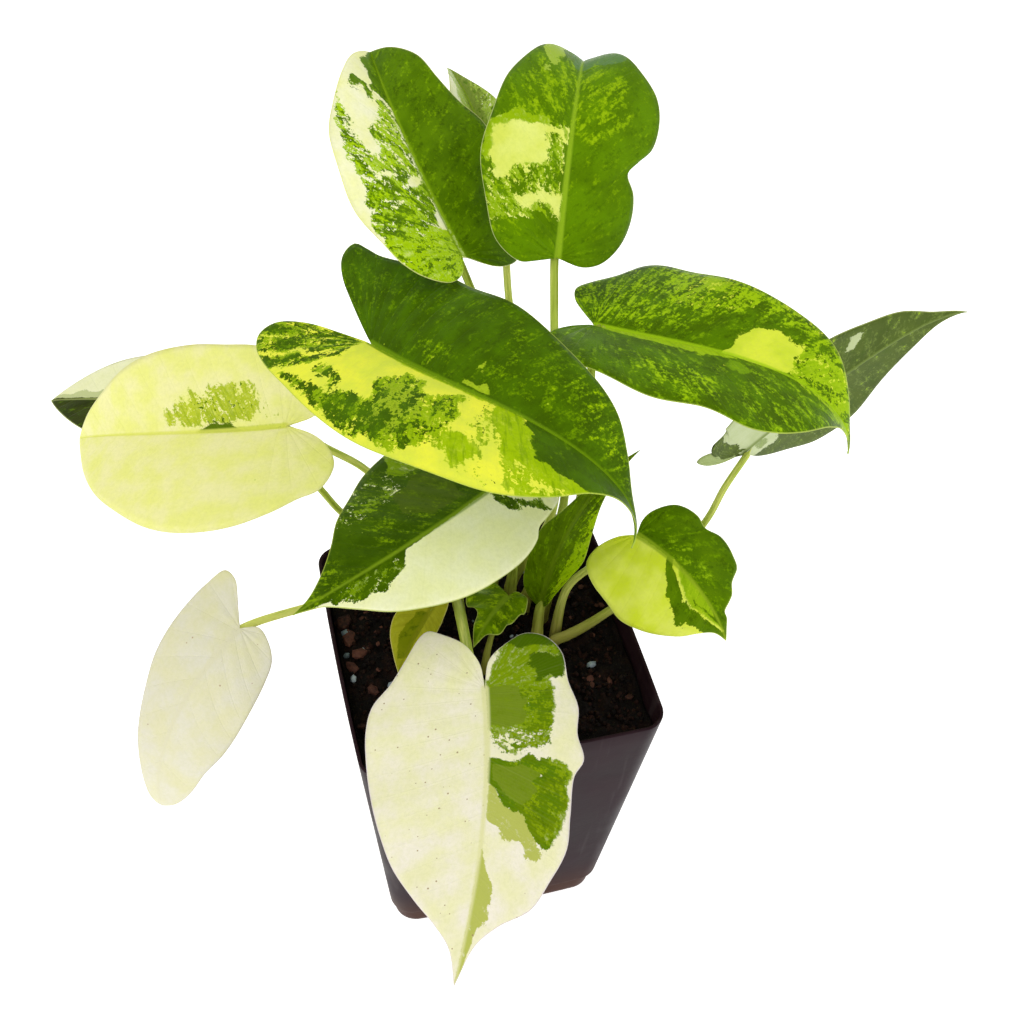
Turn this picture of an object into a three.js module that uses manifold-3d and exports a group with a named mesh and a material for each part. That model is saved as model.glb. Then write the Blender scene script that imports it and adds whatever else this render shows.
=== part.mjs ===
// A young variegated philodendron in a thin square nursery pot.
// Millimetres, +Z up. The origin is the centre of the pot's underside, and the front of the pot faces -Y.
import * as THREE from "three";
import { mergeVertices } from "three/addons/utils/BufferGeometryUtils.js";
import Module from "manifold-3d";

const wasm = await Module();
wasm.setup();

// Clearance between pieces that touch on the real plant
const GAP = 0.3;

// Pot: outer widths across the flats, and heights
const POT_TOP_WIDTH = 98;
const POT_BASE_WIDTH = 76;
const POT_HEIGHT = 115;
const POT_WALL = 1.2;
const POT_FOOT_HEIGHT = 10;
const POT_FOOT_STEP = 1;
const POT_CORNER_TOP = 8;
const POT_CORNER_BASE = 8;
const POT_SIDE_BULGE = 0.6;
const POT_CORNER_STEPS = 5;
const POT_SIDE_STEPS = 4;
const POT_STEP_BLEND = 0.6;
const POT_BASE_BEVEL = 1.5;
// Heights of the rings between the foot and the rim, as shares of the pot's height
const POT_RINGS = [0.4, 0.7];
const SLOT_WIDTH = 20;
const SLOT_HEIGHT = 3;
const SLOT_DEPTH = 8;
const SLOT_OUTSIDE = 3;
const SLOT_BELOW = 1;
const SLOT_CURVE_STEPS = 4;

// Soil, with its level below the pot's rim
const SOIL_DROP = 9;
const SOIL_LEVEL = POT_HEIGHT - SOIL_DROP;
const SOIL_BUMP = 1.3;
const SOIL_RINGS = 6;
// Waves of its crumbly top: share of the bump's height, radians per millimetre along X and Y, and phase
const SOIL_WAVES = [
  { share: 0.4, x: 0.16, y: 0.05, phase: 0.6 },
  { share: 0.35, x: -0.06, y: 0.14, phase: -0.4 },
  { share: 0.25, x: 0.39, y: 0.27, phase: 1.1 },
];
const PLANTED_DEPTH = 7;
const HOLE_RISE = 1;

// Blades
const BLADE_THICKNESS = 0.7;
const FAN_SHARE = 0.3;
const VEIN_LEAN = 1.5;
const BLADE_COLUMNS = 17;
const BLADE_ROWS = [0, 0.5, 1];
const CUP_REACH = 0.35;
const MIDRIB_STEPS = 32;
const MARGIN_DIVISIONS = 400;

// Petioles
const PETIOLE_SIDES = 7;
const PETIOLE_STEP = 11;
// How far a petiole runs on under its blade, and the share of its length over which it narrows
const PETIOLE_REACH = 1;
const TAPER_SHARE = 0.6;

const RAD = Math.PI / 180;
const MERGE_DISTANCE = 1e-4;

const FINISHES = {
  pot: { color: 0x2e2728, roughness: 0.45 },
  soil: { color: 0x17100c, roughness: 1 },
  green: { color: 0x3f7a12, roughness: 0.5 },
  cream: { color: 0xe6e8a6, roughness: 0.5 },
  petiole: { color: 0xa9ba5a, roughness: 0.5 },
};

// One entry per leaf. The blade's junction with its petiole is at `base`, and its midrib starts towards
// `heading` (degrees from +X) at `pitch`. It droops by `droop` and swings by `sway` towards the tip, where
// `curl` gathers the droop near the end. `roll` and `twist` turn the blade about its midrib, `fold` lifts
// the halves, `cup` bends them back down and `lobe` lifts the lobes behind the junction. `wave` holds the
// height and the number of waves of the margin. An outline runs from the junction round a lobe to the tip,
// as distances [along the midrib, across it], left above and right below.
// `stem` is the petiole's route from the soil, with its radii at the foot and at the junction. Most petioles
// meet the blade from below, and one that is marked `endOn` meets it end to end.
const LEAVES = [
  {
    name: "centre", color: "green", base: [-31, 20, 225],
    heading: -62, pitch: 8, roll: 12, length: 109, droop: 110, curl: 2.7, sway: 40,
    fold: 22, cup: 45, lobe: 40, twist: -14, wave: [0.8, 4],
    left: [[-12, 6], [-24, 10], [-33, 16], [-35, 20], [-32, 23], [-24, 24], [-14, 28], [-5, 32], [9, 33.5],
      [25, 34], [44, 30], [61, 24], [74, 17], [83, 9], [92, 2.5]],
    right: [[-11, -4], [-20, -8], [-26, -14], [-26, -20], [-22, -24], [-14, -26.5], [-2, -28], [12, -30],
      [30, -32], [46, -31], [60, -28], [70, -22], [78, -13], [86, -6], [95, -2]],
    stem: { foot: [12, 13], via: [[17, 25, 150], [16, 28, 174], [-6, 26, 205]], radii: [2.0, 1.6] },
  },
  {
    name: "right", color: "green", base: [38, 29, 215],
    heading: -38, pitch: 5, roll: -8, length: 96, droop: 90, curl: 2.7, sway: 17,
    fold: 17, cup: 21, lobe: 0, twist: 25, wave: [0.9, 4],
    left: [[-5, 4], [-10, 9], [-12, 15], [-9, 21], [-3, 28], [2, 35], [9, 37.5], [23, 35], [39, 29],
      [56, 24.5], [69, 18], [80, 8], [87, 2.5]],
    right: [[-6, -10], [-8, -17], [-4, -25], [3, -30], [12, -31], [24, -32], [38, -30], [50, -31],
      [58, -27], [67, -20], [76, -10], [84, -3]],
    stem: { foot: [23, 9], via: [[33, 12, 158], [36, 20, 190]], radii: [2.0, 1.4] },
  },
  {
    name: "back_left", color: "green", base: [0, 43, 235],
    heading: 113, pitch: 33, roll: 20, length: 81, droop: 34, curl: 1.7, sway: -24,
    fold: 18, cup: 34, lobe: 0, twist: -16, wave: [0.8, 4],
    left: [[-6, 6], [-8, 13], [-5, 20], [1, 26], [8, 28], [16, 29], [27, 28], [40, 26], [52, 20],
      [63, 14], [73, 8]],
    right: [[-6, -8], [-7, -14], [-5, -21], [4, -27], [18, -30], [32, -30], [44, -27], [52, -21],
      [60, -16.5], [70, -13], [77, -7]],
    stem: { foot: [14, 20], via: [[21, 34, 155], [12, 41, 200]], radii: [1.8, 1.3] },
  },
  {
    name: "back_right", color: "green", base: [27, 37, 235],
    heading: 69, pitch: 56, roll: 26, length: 90, droop: 102, curl: 1.7, sway: 0,
    fold: 12, cup: 50, lobe: 0, twist: -28, wave: [0.7, 4],
    left: [[-1, 6], [-2, 12], [3, 19], [13, 23], [26, 26], [40, 24], [53, 21], [66, 15], [77, 8], [86, 3]],
    right: [[-2, -8], [0, -15], [6, -21], [13, -23], [22, -22], [28, -19], [33, -22], [39, -26],
      [49, -26.5], [58, -24], [66, -17], [74, -11], [82, -6]],
    stem: { foot: [18, 15], via: [[31, 21, 149], [29, 30, 200]], radii: [2.0, 1.4] },
  },
  {
    name: "back_middle", color: "cream", base: [19, 63, 227],
    heading: 87, pitch: 30, roll: 0, length: 76, droop: 36, curl: 1.5, sway: 4,
    fold: 34, cup: 20, lobe: 0, twist: 0, wave: [0.6, 3],
    left: [[-4, 3], [-6, 8], [-2, 13], [6, 17], [18, 19], [32, 18], [46, 14], [58, 9], [68, 4]],
    right: [[-4, -3], [-6, -8], [-2, -13], [6, -17], [18, -18], [32, -16], [46, -11], [58, -6], [68, -2.5]],
    stem: { foot: [16, 25], via: [[31, 30, 141], [25, 45, 190]], radii: [1.8, 1.3] },
  },
  {
    name: "left", color: "cream", base: [-55, 47, 175],
    heading: 166, pitch: -11, roll: -20, length: 88, droop: 24, curl: 1.4, sway: -38,
    fold: 20, cup: 15, lobe: -14, twist: -28, wave: [0.8, 3],
    left: [[-9, 5], [-15, 12], [-17, 19], [-13, 27], [-6, 30], [2, 34], [12, 37], [25, 37], [39, 34],
      [52, 28], [63, 22], [74, 14], [82, 6]],
    right: [[-9, -2], [-15, -7], [-14, -16], [-4, -23], [8, -27], [20, -28], [34, -29], [47, -27],
      [59, -22], [70, -15], [80, -8]],
    stem: { foot: [-7, 32], via: [[-17, 41, 130], [-29, 48, 149], [-42, 48, 162]], radii: [1.8, 1.4] },
  },
  {
    name: "far_left", color: "cream", base: [-65, 92, 145],
    heading: 158, pitch: -2, roll: 5, length: 78, droop: 18, curl: 1.5, sway: -8,
    fold: 24, cup: 20, lobe: 0, twist: 0, wave: [0.6, 3],
    left: [[-6, 3], [-10, 8], [-8, 15], [0, 20], [14, 24], [28, 25], [42, 22], [56, 16], [68, 8]],
    right: [[-6, -3], [-10, -8], [-8, -15], [0, -20], [14, -24], [28, -25], [42, -22], [56, -16], [68, -8]],
    stem: { foot: [-13, 29], via: [[-27, 41, 122], [-39, 48, 132], [-46, 52, 142]], radii: [1.8, 1.3] },
  },
  {
    name: "inner_left", color: "green", base: [11, 17, 170],
    heading: -138, pitch: 9, roll: -9, length: 89, droop: 14, curl: 1.4, sway: -18,
    fold: -6, cup: 8, lobe: 0, twist: 3, wave: [0.8, 3],
    left: [[-7, 4], [-10, 10], [-6, 16], [2, 18], [9, 19], [14, 22], [24, 24.5], [36, 24], [48, 22],
      [58, 19], [66, 15], [74, 8], [81, 2.5]],
    right: [[-7, -6], [-10, -14], [-6, -24], [3, -31], [14, -34.5], [25, -34], [36, -32], [47, -27],
      [58, -21], [66, -14], [75, -7], [83, -2]],
    stem: { foot: [7, 17], via: [[8, 17, 130], [11, 19, 155]], radii: [1.9, 1.5] },
  },
  {
    name: "lower_left", color: "cream", base: [-78, -3, 140],
    heading: -149, pitch: -24, roll: -33, length: 71, droop: 72, curl: 1.4, sway: 12,
    fold: -10, cup: 30, lobe: 0, twist: 14, wave: [0.5, 3],
    left: [[-4, 4], [-3, 9], [1, 15], [8, 18], [20, 20], [33, 20], [44, 18], [53, 14], [61, 10], [67, 5]],
    right: [[-5, -6], [-10, -12], [-10, -17], [-3, -18.5], [10, -18.5], [21, -17], [31, -14],
      [43, -10.5], [53, -6], [63, -3]],
    stem: { foot: [-11, 23], via: [[-14, 23, 113], [-32, 20, 121], [-55, 11, 129]], radii: [1.8, 1.4] },
  },
  {
    name: "front", color: "cream", base: [-10, -41, 140],
    heading: -99, pitch: -5, roll: 5, length: 87, droop: 18, curl: 1.7, sway: -19,
    fold: -16, cup: -7, lobe: 0, twist: 0, wave: [0.8, 5],
    left: [[-10, 2], [-17, 8], [-21, 14], [-20, 20], [-14, 25], [-4, 26], [5, 28], [14, 27], [21, 28.5],
      [26, 25.5], [38, 24.5], [47, 24], [56, 20], [64, 16], [70, 8], [76, 3]],
    right: [[-9, -1], [-18, -6], [-24, -14], [-24, -19], [-16, -24], [-9, -29], [-2, -35], [8, -37],
      [22, -36.5], [35, -34], [47, -30], [57, -25], [66, -17], [72, -10], [78, -4]],
    stem: { foot: [-4, 25], via: [[-6, 13, 118], [-9, -11, 127.5], [-11, -29, 135]], radii: [2.2, 1.9] },
  },
  {
    name: "lower_right", color: "green", base: [52, 6, 145],
    heading: -42, pitch: -14, roll: 24, length: 49, droop: 50, curl: 1.1, sway: -9,
    fold: -2, cup: 13, lobe: 0, twist: 7, wave: [0.6, 4],
    left: [[-1, 5], [0, 10], [5, 17], [12, 18.5], [16, 17], [21, 18.5], [28, 17], [33, 12], [38, 5], [44, 2]],
    right: [[-5, -4], [-9, -11], [-9, -17], [-3, -22], [6, -24.5], [15, -26], [24, -24], [32, -20],
      [38, -14], [41, -8], [44, -3]],
    stem: { foot: [26, 2], via: [[30, 6, 124], [38, 6, 133]], radii: [1.9, 1.6] },
  },
  {
    name: "far_right", color: "green", base: [91.8, 21.7, 160],
    heading: 12, pitch: 35, roll: -70, length: 87, droop: 41.5, curl: 6.9, sway: -12.7,
    fold: 6, cup: 8, lobe: 200, twist: -18, wave: [0.7, 4],
    left: [[-7, -1.5], [-13, -3.5], [-17, -4], [-16, -1], [-9, 5], [-2, 13], [5, 24], [13, 34], [22, 38.5],
      [31, 36], [39, 31], [50, 22], [61, 14], [68, 9], [76, 3.5], [81, 1.5]],
    right: [[-3, -6], [-8, -12], [-15, -17], [-22, -20], [-20, -25], [-8, -30], [6, -34], [20, -33],
      [32, -29], [44, -24], [56, -16], [66, -11], [75, -4], [81, -1.5]],
    stem: { foot: [24, -3], via: [[28, -3, 113], [37, -2, 118], [58, 0, 131], [79, 12, 141], [84, 17, 150]], radii: [1.9, 1.4] },
  },
  {
    name: "young", color: "green", base: [20, 3, 120],
    heading: -9, pitch: 84, roll: 60, length: 77, droop: 35, curl: 1.5, sway: -3,
    fold: 14, cup: 20, lobe: 0, twist: 0, wave: [0.4, 3],
    left: [[2, 3], [8, 7], [20, 8.5], [34, 8], [43, 5], [54, 3], [66, 1.5]],
    right: [[2, -2], [9, -4], [20, -7], [31, -9], [42, -7], [54, -4], [66, -1.5]],
    stem: { foot: [18, -2], via: [[19, 1, 114]], radii: [2.2, 1.6], endOn: true },
  },
  {
    name: "crinkled", color: "green", base: [9, 4, 127],
    heading: -139, pitch: 3, roll: 0, length: 23, droop: 29, curl: 1.5, sway: 11,
    fold: 0, cup: 20, lobe: 0, twist: 0, wave: [1.2, 5],
    left: [[-3, 1], [-4, 4], [-1, 7], [4, 8], [9, 6.5], [14, 6], [18, 2]],
    right: [[-1, -3], [-3, -8], [0, -12], [6, -13], [10, -9], [11, -5], [14, -4], [19, -2]],
    stem: { foot: [-1, -8], via: [[0, -6, 113], [5, 1, 121]], radii: [1.3, 0.9] },
  },
  {
    name: "olive", color: "green", base: [-15, 9, 122],
    heading: -132, pitch: -9, roll: 0, length: 26, droop: 26, curl: 1.5, sway: 4,
    fold: 20, cup: 20, lobe: 0, twist: 0, wave: [0.3, 2],
    left: [[-3, 1.5], [-3, 4], [4, 6], [10, 6.5], [16, 5.5], [21, 3]],
    right: [[-3, -1.5], [-3, -5], [3, -8.5], [9, -9.5], [15, -8], [21, -4]],
    stem: { foot: [-12, 14], via: [[-13, 12, 115]], radii: [1.2, 0.9] },
  },
];


function meshFrom(name, geometry, finish) {
  const mesh = new THREE.Mesh(geometry, new THREE.MeshStandardMaterial({ ...FINISHES[finish], metalness: 0 }));
  mesh.name = name;
  return mesh;
}

function closedGeometry(points, triangles) {
  const geometry = new THREE.BufferGeometry();
  geometry.setAttribute("position", new THREE.Float32BufferAttribute(points.flatMap((p) => [p.x, p.y, p.z]), 3));
  geometry.setIndex(triangles.flat());
  return geometry;
}

function solidFrom(geometry) {
  const bare = geometry.clone();
  bare.deleteAttribute("normal");
  bare.deleteAttribute("uv");
  const merged = mergeVertices(bare, MERGE_DISTANCE);
  return new wasm.Manifold(new wasm.Mesh({
    numProp: 3,
    vertProperties: new Float32Array(merged.attributes.position.array),
    triVerts: new Uint32Array(merged.index.array),
  }));
}

function geometryFrom(solid) {
  const mesh = solid.getMesh();
  const geometry = new THREE.BufferGeometry();
  geometry.setAttribute("position", new THREE.BufferAttribute(new Float32Array(mesh.vertProperties), 3));
  geometry.setIndex(new THREE.BufferAttribute(new Uint32Array(mesh.triVerts), 1));
  return geometry;
}

// Points round a square with rounded corners and slightly bulging sides, counter-clockwise from above
function squareRing(half, corner, z) {
  const ring = [];
  for (let side = 0; side < 4; side += 1) {
    const turn = side * 90 * RAD;
    const place = (x, y) => new THREE.Vector3(
      x * Math.cos(turn) - y * Math.sin(turn), x * Math.sin(turn) + y * Math.cos(turn), z);
    const flat = half - corner;
    for (let i = 1; i < POT_SIDE_STEPS; i += 1) {
      const y = flat * (2 * i / POT_SIDE_STEPS - 1);
      ring.push(place(half + POT_SIDE_BULGE * (1 - (y / flat) ** 2), y));
    }
    for (let i = 0; i <= POT_CORNER_STEPS; i += 1) {
      const angle = 90 * RAD * i / POT_CORNER_STEPS;
      ring.push(place(flat + corner * Math.cos(angle), flat + corner * Math.sin(angle)));
    }
  }
  return ring;
}

// Half-width across the flats of the pot's outside at a height
function potHalfAt(z) {
  const straight = THREE.MathUtils.lerp(POT_BASE_WIDTH, POT_TOP_WIDTH, z / POT_HEIGHT) / 2;
  return z < POT_FOOT_HEIGHT ? straight - POT_FOOT_STEP : straight;
}

function potCornerAt(z) {
  return THREE.MathUtils.lerp(POT_CORNER_BASE, POT_CORNER_TOP, z / POT_HEIGHT);
}

// A closed skin over stacked rings, with its two ends closed at a centre point
function loftRings(rings) {
  const count = rings[0].length;
  const points = rings.flat();
  const triangles = [];
  for (let k = 0; k + 1 < rings.length; k += 1) {
    for (let i = 0; i < count; i += 1) {
      const a = k * count + i;
      const b = k * count + (i + 1) % count;
      triangles.push([a, b, b + count], [a, b + count, a + count]);
    }
  }
  for (const [ring, first, flip] of [[rings[0], 0, true], [rings.at(-1), (rings.length - 1) * count, false]]) {
    const centre = points.length;
    points.push(ring.reduce((sum, p) => sum.add(p), new THREE.Vector3()).divideScalar(count));
    for (let i = 0; i < count; i += 1) {
      const a = first + i;
      const b = first + (i + 1) % count;
      triangles.push(flip ? [b, a, centre] : [a, b, centre]);
    }
  }
  return closedGeometry(points, triangles);
}

// Low arched drainage slots through the wall where it meets the floor, one in each side
function drainageSlot(side) {
  const shape = new THREE.Shape();
  shape.moveTo(-SLOT_WIDTH / 2, -SLOT_BELOW);
  shape.lineTo(SLOT_WIDTH / 2, -SLOT_BELOW);
  shape.quadraticCurveTo(SLOT_WIDTH / 3, SLOT_HEIGHT, 0, SLOT_HEIGHT);
  shape.quadraticCurveTo(-SLOT_WIDTH / 3, SLOT_HEIGHT, -SLOT_WIDTH / 2, -SLOT_BELOW);
  const slot = new THREE.ExtrudeGeometry(shape, {
    depth: SLOT_DEPTH, bevelEnabled: false, curveSegments: SLOT_CURVE_STEPS,
  });
  slot.rotateX(90 * RAD);
  slot.translate(0, SLOT_DEPTH - SLOT_OUTSIDE - potHalfAt(0) - POT_SIDE_BULGE, 0);
  slot.rotateZ(side * 90 * RAD);
  return solidFrom(slot);
}

function makePot() {
  const under = POT_FOOT_HEIGHT - POT_STEP_BLEND;
  const over = POT_FOOT_HEIGHT + POT_STEP_BLEND;
  const walls = [under, over, ...POT_RINGS.map((share) => share * POT_HEIGHT), POT_HEIGHT];
  const outside = (z) => squareRing(potHalfAt(z), potCornerAt(z), z);
  const inside = (z) => squareRing(potHalfAt(z) - POT_WALL, potCornerAt(z) - POT_WALL, z);
  const rings = [
    squareRing(potHalfAt(0) - POT_BASE_BEVEL, potCornerAt(0) - POT_BASE_BEVEL, 0),
    outside(POT_BASE_BEVEL),
    ...walls.map(outside),
    ...walls.toReversed().map(inside),
    inside(POT_WALL),
  ];
  let pot = solidFrom(loftRings(rings));
  for (let side = 0; side < 4; side += 1) {
    pot = pot.subtract(drainageSlot(side));
  }
  return meshFrom("pot", geometryFrom(pot), "pot");
}

function soilHeight(x, y) {
  const waves = SOIL_WAVES.map((wave) => wave.share * Math.sin(wave.x * x + wave.y * y + wave.phase));
  return SOIL_LEVEL + SOIL_BUMP * waves.reduce((sum, height) => sum + height, 0);
}

function soilTopRing(share) {
  const half = (potHalfAt(SOIL_LEVEL) - POT_WALL - GAP) * share;
  const corner = (potCornerAt(SOIL_LEVEL) - POT_WALL) * share;
  return squareRing(half - POT_SIDE_BULGE * (1 - share), corner, 0).map((p) => p.setZ(soilHeight(p.x, p.y)));
}

function makeSoil(holes) {
  const inside = (z) => squareRing(potHalfAt(z) - POT_WALL - GAP, potCornerAt(z) - POT_WALL, z);
  const under = POT_FOOT_HEIGHT - POT_STEP_BLEND + GAP / 2;
  const over = POT_FOOT_HEIGHT + POT_STEP_BLEND + GAP / 2;
  const rings = [inside(POT_WALL + GAP), inside(under), inside(over)];
  for (const share of POT_RINGS) {
    rings.push(inside(share * POT_HEIGHT));
  }
  for (let i = 0; i < SOIL_RINGS; i += 1) {
    rings.push(soilTopRing(1 - i / SOIL_RINGS));
  }
  let soil = solidFrom(loftRings(rings));
  for (const hole of holes) {
    soil = soil.subtract(solidFrom(hole));
  }
  return meshFrom("soil", geometryFrom(soil), "soil");
}

// Direction of the midrib, the direction across the blade and its normal, at a distance from the junction
function bladeFrame(leaf, s) {
  const x = s / leaf.length;
  const ahead = THREE.MathUtils.clamp(x, 0, 1);
  const bend = x > 0 ? leaf.droop * x ** leaf.curl : -leaf.lobe * x;
  const pitch = (leaf.pitch - bend) * RAD;
  const heading = (leaf.heading + leaf.sway * ahead) * RAD;
  const roll = (leaf.roll + leaf.twist * ahead) * RAD;
  const along = new THREE.Vector3(
    Math.cos(pitch) * Math.cos(heading), Math.cos(pitch) * Math.sin(heading), Math.sin(pitch));
  const level = new THREE.Vector3(-Math.sin(heading), Math.cos(heading), 0);
  const upright = along.clone().cross(level);
  const across = level.clone().multiplyScalar(Math.cos(roll)).addScaledVector(upright, Math.sin(roll));
  const normal = upright.multiplyScalar(Math.cos(roll)).addScaledVector(level, -Math.sin(roll));
  return { along, across, normal };
}

function midribPoint(leaf, s) {
  const point = new THREE.Vector3(...leaf.base);
  for (let i = 0; i < MIDRIB_STEPS; i += 1) {
    point.addScaledVector(bladeFrame(leaf, s * (i + 0.5) / MIDRIB_STEPS).along, s / MIDRIB_STEPS);
  }
  return point;
}

// A point of the blade's middle surface: along the midrib by s, then out along an arc by w
function bladePoint(leaf, s, w, lift) {
  const { across, normal } = bladeFrame(leaf, s);
  const fold = leaf.fold * RAD;
  const bend = leaf.cup * RAD / (CUP_REACH * leaf.length);
  const reach = Math.abs(w);
  const out = (Math.sin(fold) - Math.sin(fold - bend * reach)) / bend;
  const up = (Math.cos(fold - bend * reach) - Math.cos(fold)) / bend;
  return midribPoint(leaf, s).addScaledVector(across, Math.sign(w) * out).addScaledVector(normal, up + lift);
}

// Side veins: near the junction they fan out from it, and further on they leave the midrib one by one
function veinRoot(leaf, t) {
  const share = THREE.MathUtils.clamp((t - FAN_SHARE) / (1 - FAN_SHARE), 0, 1);
  return leaf.length * share ** VEIN_LEAN;
}

function makeBlade(leaf) {
  const points = [];
  const triangles = [];
  const midribIndex = new Map();
  const midribVertex = (s) => {
    const key = s.toFixed(4);
    if (!midribIndex.has(key)) {
      midribIndex.set(key, points.length);
      points.push(bladePoint(leaf, s, 0, 0));
    }
    return midribIndex.get(key);
  };
  for (const outline of [leaf.left, leaf.right]) {
    const sign = outline === leaf.left ? 1 : -1;
    const ends = [[0, 0], ...outline, [leaf.length, 0]].map(([s, w]) => new THREE.Vector3(s, w, 0));
    const margin = new THREE.CatmullRomCurve3(ends, false, "centripetal");
    margin.arcLengthDivisions = MARGIN_DIVISIONS;
    const columns = [];
    for (let k = 0; k <= BLADE_COLUMNS; k += 1) {
      const t = k / BLADE_COLUMNS;
      const root = veinRoot(leaf, t);
      const edge = margin.getPointAt(t);
      const onTip = k === BLADE_COLUMNS || k === 0;
      columns.push(BLADE_ROWS.map((r) => {
        if (r === 0 || onTip) {
          return midribVertex(root);
        }
        const lift = leaf.wave[0] * r * r * Math.sin(2 * Math.PI * leaf.wave[1] * t) * Math.sin(Math.PI * t);
        points.push(bladePoint(leaf, root + r * (edge.x - root), r * edge.y, lift));
        return points.length - 1;
      }));
    }
    for (let k = 0; k < BLADE_COLUMNS; k += 1) {
      for (let j = 0; j + 1 < BLADE_ROWS.length; j += 1) {
        const [a, b] = [columns[k][j], columns[k][j + 1]];
        const [d, c] = [columns[k + 1][j], columns[k + 1][j + 1]];
        for (const triangle of [[a, b, c], [a, c, d]]) {
          if (new Set(triangle).size === 3) {
            triangles.push(sign > 0 ? triangle.reverse() : triangle);
          }
        }
      }
    }
  }
  return meshFrom(`leaf_${leaf.name}`, thicken(points, triangles, BLADE_THICKNESS), leaf.color);
}

// Two like faces, half the thickness to each side of the middle surface, joined round the margin
function thicken(points, triangles, thickness) {
  const normals = closedGeometry(points, triangles);
  normals.computeVertexNormals();
  const normal = points.map((_, i) => new THREE.Vector3().fromBufferAttribute(normals.attributes.normal, i));
  const count = points.length;
  const upper = points.map((p, i) => p.clone().addScaledVector(normal[i], thickness / 2));
  const lower = points.map((p, i) => p.clone().addScaledVector(normal[i], -thickness / 2));
  const all = triangles.map((t) => [...t]);
  triangles.forEach(([a, b, c]) => all.push([a + count, c + count, b + count]));
  const edges = new Set(triangles.flatMap(([a, b, c]) => [`${a},${b}`, `${b},${c}`, `${c},${a}`]));
  for (const edge of edges) {
    const [a, b] = edge.split(",").map(Number);
    if (!edges.has(`${b},${a}`)) {
      all.push([b, a, a + count], [b, a + count, b + count]);
    }
  }
  return closedGeometry([...upper, ...lower], all);
}

// A round tube through points, with rings at each of them and between them, and a radius that follows a
// function of the share of its length
function tube(route, radiusAt) {
  const curve = new THREE.CatmullRomCurve3(route, false, "centripetal");
  const places = [0];
  for (let i = 0; i + 1 < route.length; i += 1) {
    const steps = Math.max(1, Math.round(route[i].distanceTo(route[i + 1]) / PETIOLE_STEP));
    for (let k = 1; k <= steps; k += 1) {
      places.push((i + k / steps) / (route.length - 1));
    }
  }
  const side = new THREE.Vector3(1, 0, 0);
  const rings = places.map((place) => {
    const centre = curve.getPoint(place);
    const tangent = curve.getTangent(place);
    side.addScaledVector(tangent, -side.dot(tangent)).normalize();
    const other = tangent.clone().cross(side);
    const ring = [];
    for (let k = 0; k < PETIOLE_SIDES; k += 1) {
      const angle = 2 * Math.PI * k / PETIOLE_SIDES;
      ring.push(centre.clone().addScaledVector(side, radiusAt(place) * Math.cos(angle))
        .addScaledVector(other, radiusAt(place) * Math.sin(angle)));
    }
    return ring;
  });
  return loftRings(rings);
}

function footPoint([x, y], depth) {
  return new THREE.Vector3(x, y, SOIL_LEVEL - depth);
}

// The hole that a stem stands in: straight down, a little wider and deeper than the stem
function soilHole(foot, radius) {
  const top = footPoint(foot, -SOIL_BUMP - HOLE_RISE);
  const bottom = footPoint(foot, PLANTED_DEPTH + GAP);
  return tube([bottom, top], () => radius + GAP);
}

// The petiole stops just under the blade, at its junction
function petioleTop(leaf, radius) {
  const { along, normal } = bladeFrame(leaf, 0);
  if (leaf.stem.endOn) {
    return new THREE.Vector3(...leaf.base).addScaledVector(along, -BLADE_THICKNESS / 2 - GAP);
  }
  const last = new THREE.Vector3(...leaf.stem.via.at(-1));
  const arrival = new THREE.Vector3(...leaf.base).sub(last).normalize();
  const slant = Math.sqrt(Math.max(0, 1 - arrival.dot(normal) ** 2));
  const droop = Math.sin(Math.max(0, -leaf.fold) * RAD);
  const clear = BLADE_THICKNESS / 2 + GAP + radius * Math.min(1, slant + droop);
  return new THREE.Vector3(...leaf.base).addScaledVector(normal, -clear).addScaledVector(along, PETIOLE_REACH);
}

function makePetiole(leaf) {
  const [footRadius, topRadius] = leaf.stem.radii;
  const route = [
    footPoint(leaf.stem.foot, PLANTED_DEPTH),
    footPoint(leaf.stem.foot, -SOIL_BUMP - HOLE_RISE),
    ...leaf.stem.via.map((p) => new THREE.Vector3(...p)),
    petioleTop(leaf, topRadius),
  ];
  const radiusAt = (share) => THREE.MathUtils.lerp(footRadius, topRadius, Math.min(1, share / TAPER_SHARE));
  return meshFrom(`petiole_${leaf.name}`, tube(route, radiusAt), "petiole");
}

const plant = new THREE.Group();
const holes = LEAVES.map((leaf) => soilHole(leaf.stem.foot, leaf.stem.radii[0]));
plant.add(makePot());
plant.add(makeSoil(holes));
for (const leaf of LEAVES) {
  plant.add(makeBlade(leaf));
  plant.add(makePetiole(leaf));
}

export default plant;
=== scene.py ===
import math

import bmesh
import bpy
import numpy as np
from mathutils import Matrix, Vector


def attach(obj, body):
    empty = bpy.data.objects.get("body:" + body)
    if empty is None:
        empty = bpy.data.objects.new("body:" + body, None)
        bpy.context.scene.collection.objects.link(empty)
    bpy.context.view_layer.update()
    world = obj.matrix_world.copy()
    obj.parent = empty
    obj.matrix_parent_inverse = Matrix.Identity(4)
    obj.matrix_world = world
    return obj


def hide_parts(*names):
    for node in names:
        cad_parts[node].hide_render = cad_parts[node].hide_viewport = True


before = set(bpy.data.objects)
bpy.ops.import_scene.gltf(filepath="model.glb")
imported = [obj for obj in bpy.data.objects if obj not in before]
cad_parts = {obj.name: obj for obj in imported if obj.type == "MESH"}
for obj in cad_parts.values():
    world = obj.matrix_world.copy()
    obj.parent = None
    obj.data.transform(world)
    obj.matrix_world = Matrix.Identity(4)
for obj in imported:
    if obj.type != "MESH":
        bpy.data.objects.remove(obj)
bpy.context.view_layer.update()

# A young variegated philodendron in a thin square nursery pot. Lengths are millimetres until a mesh is
# made, +Z is up, the origin is the centre of the pot's underside and the front of the pot faces -Y.
MM = 0.001
CM_PER_MM = 0.1
TINY = 1e-9
MERGE_WITHIN = 0.002
SEED = 7

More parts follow.
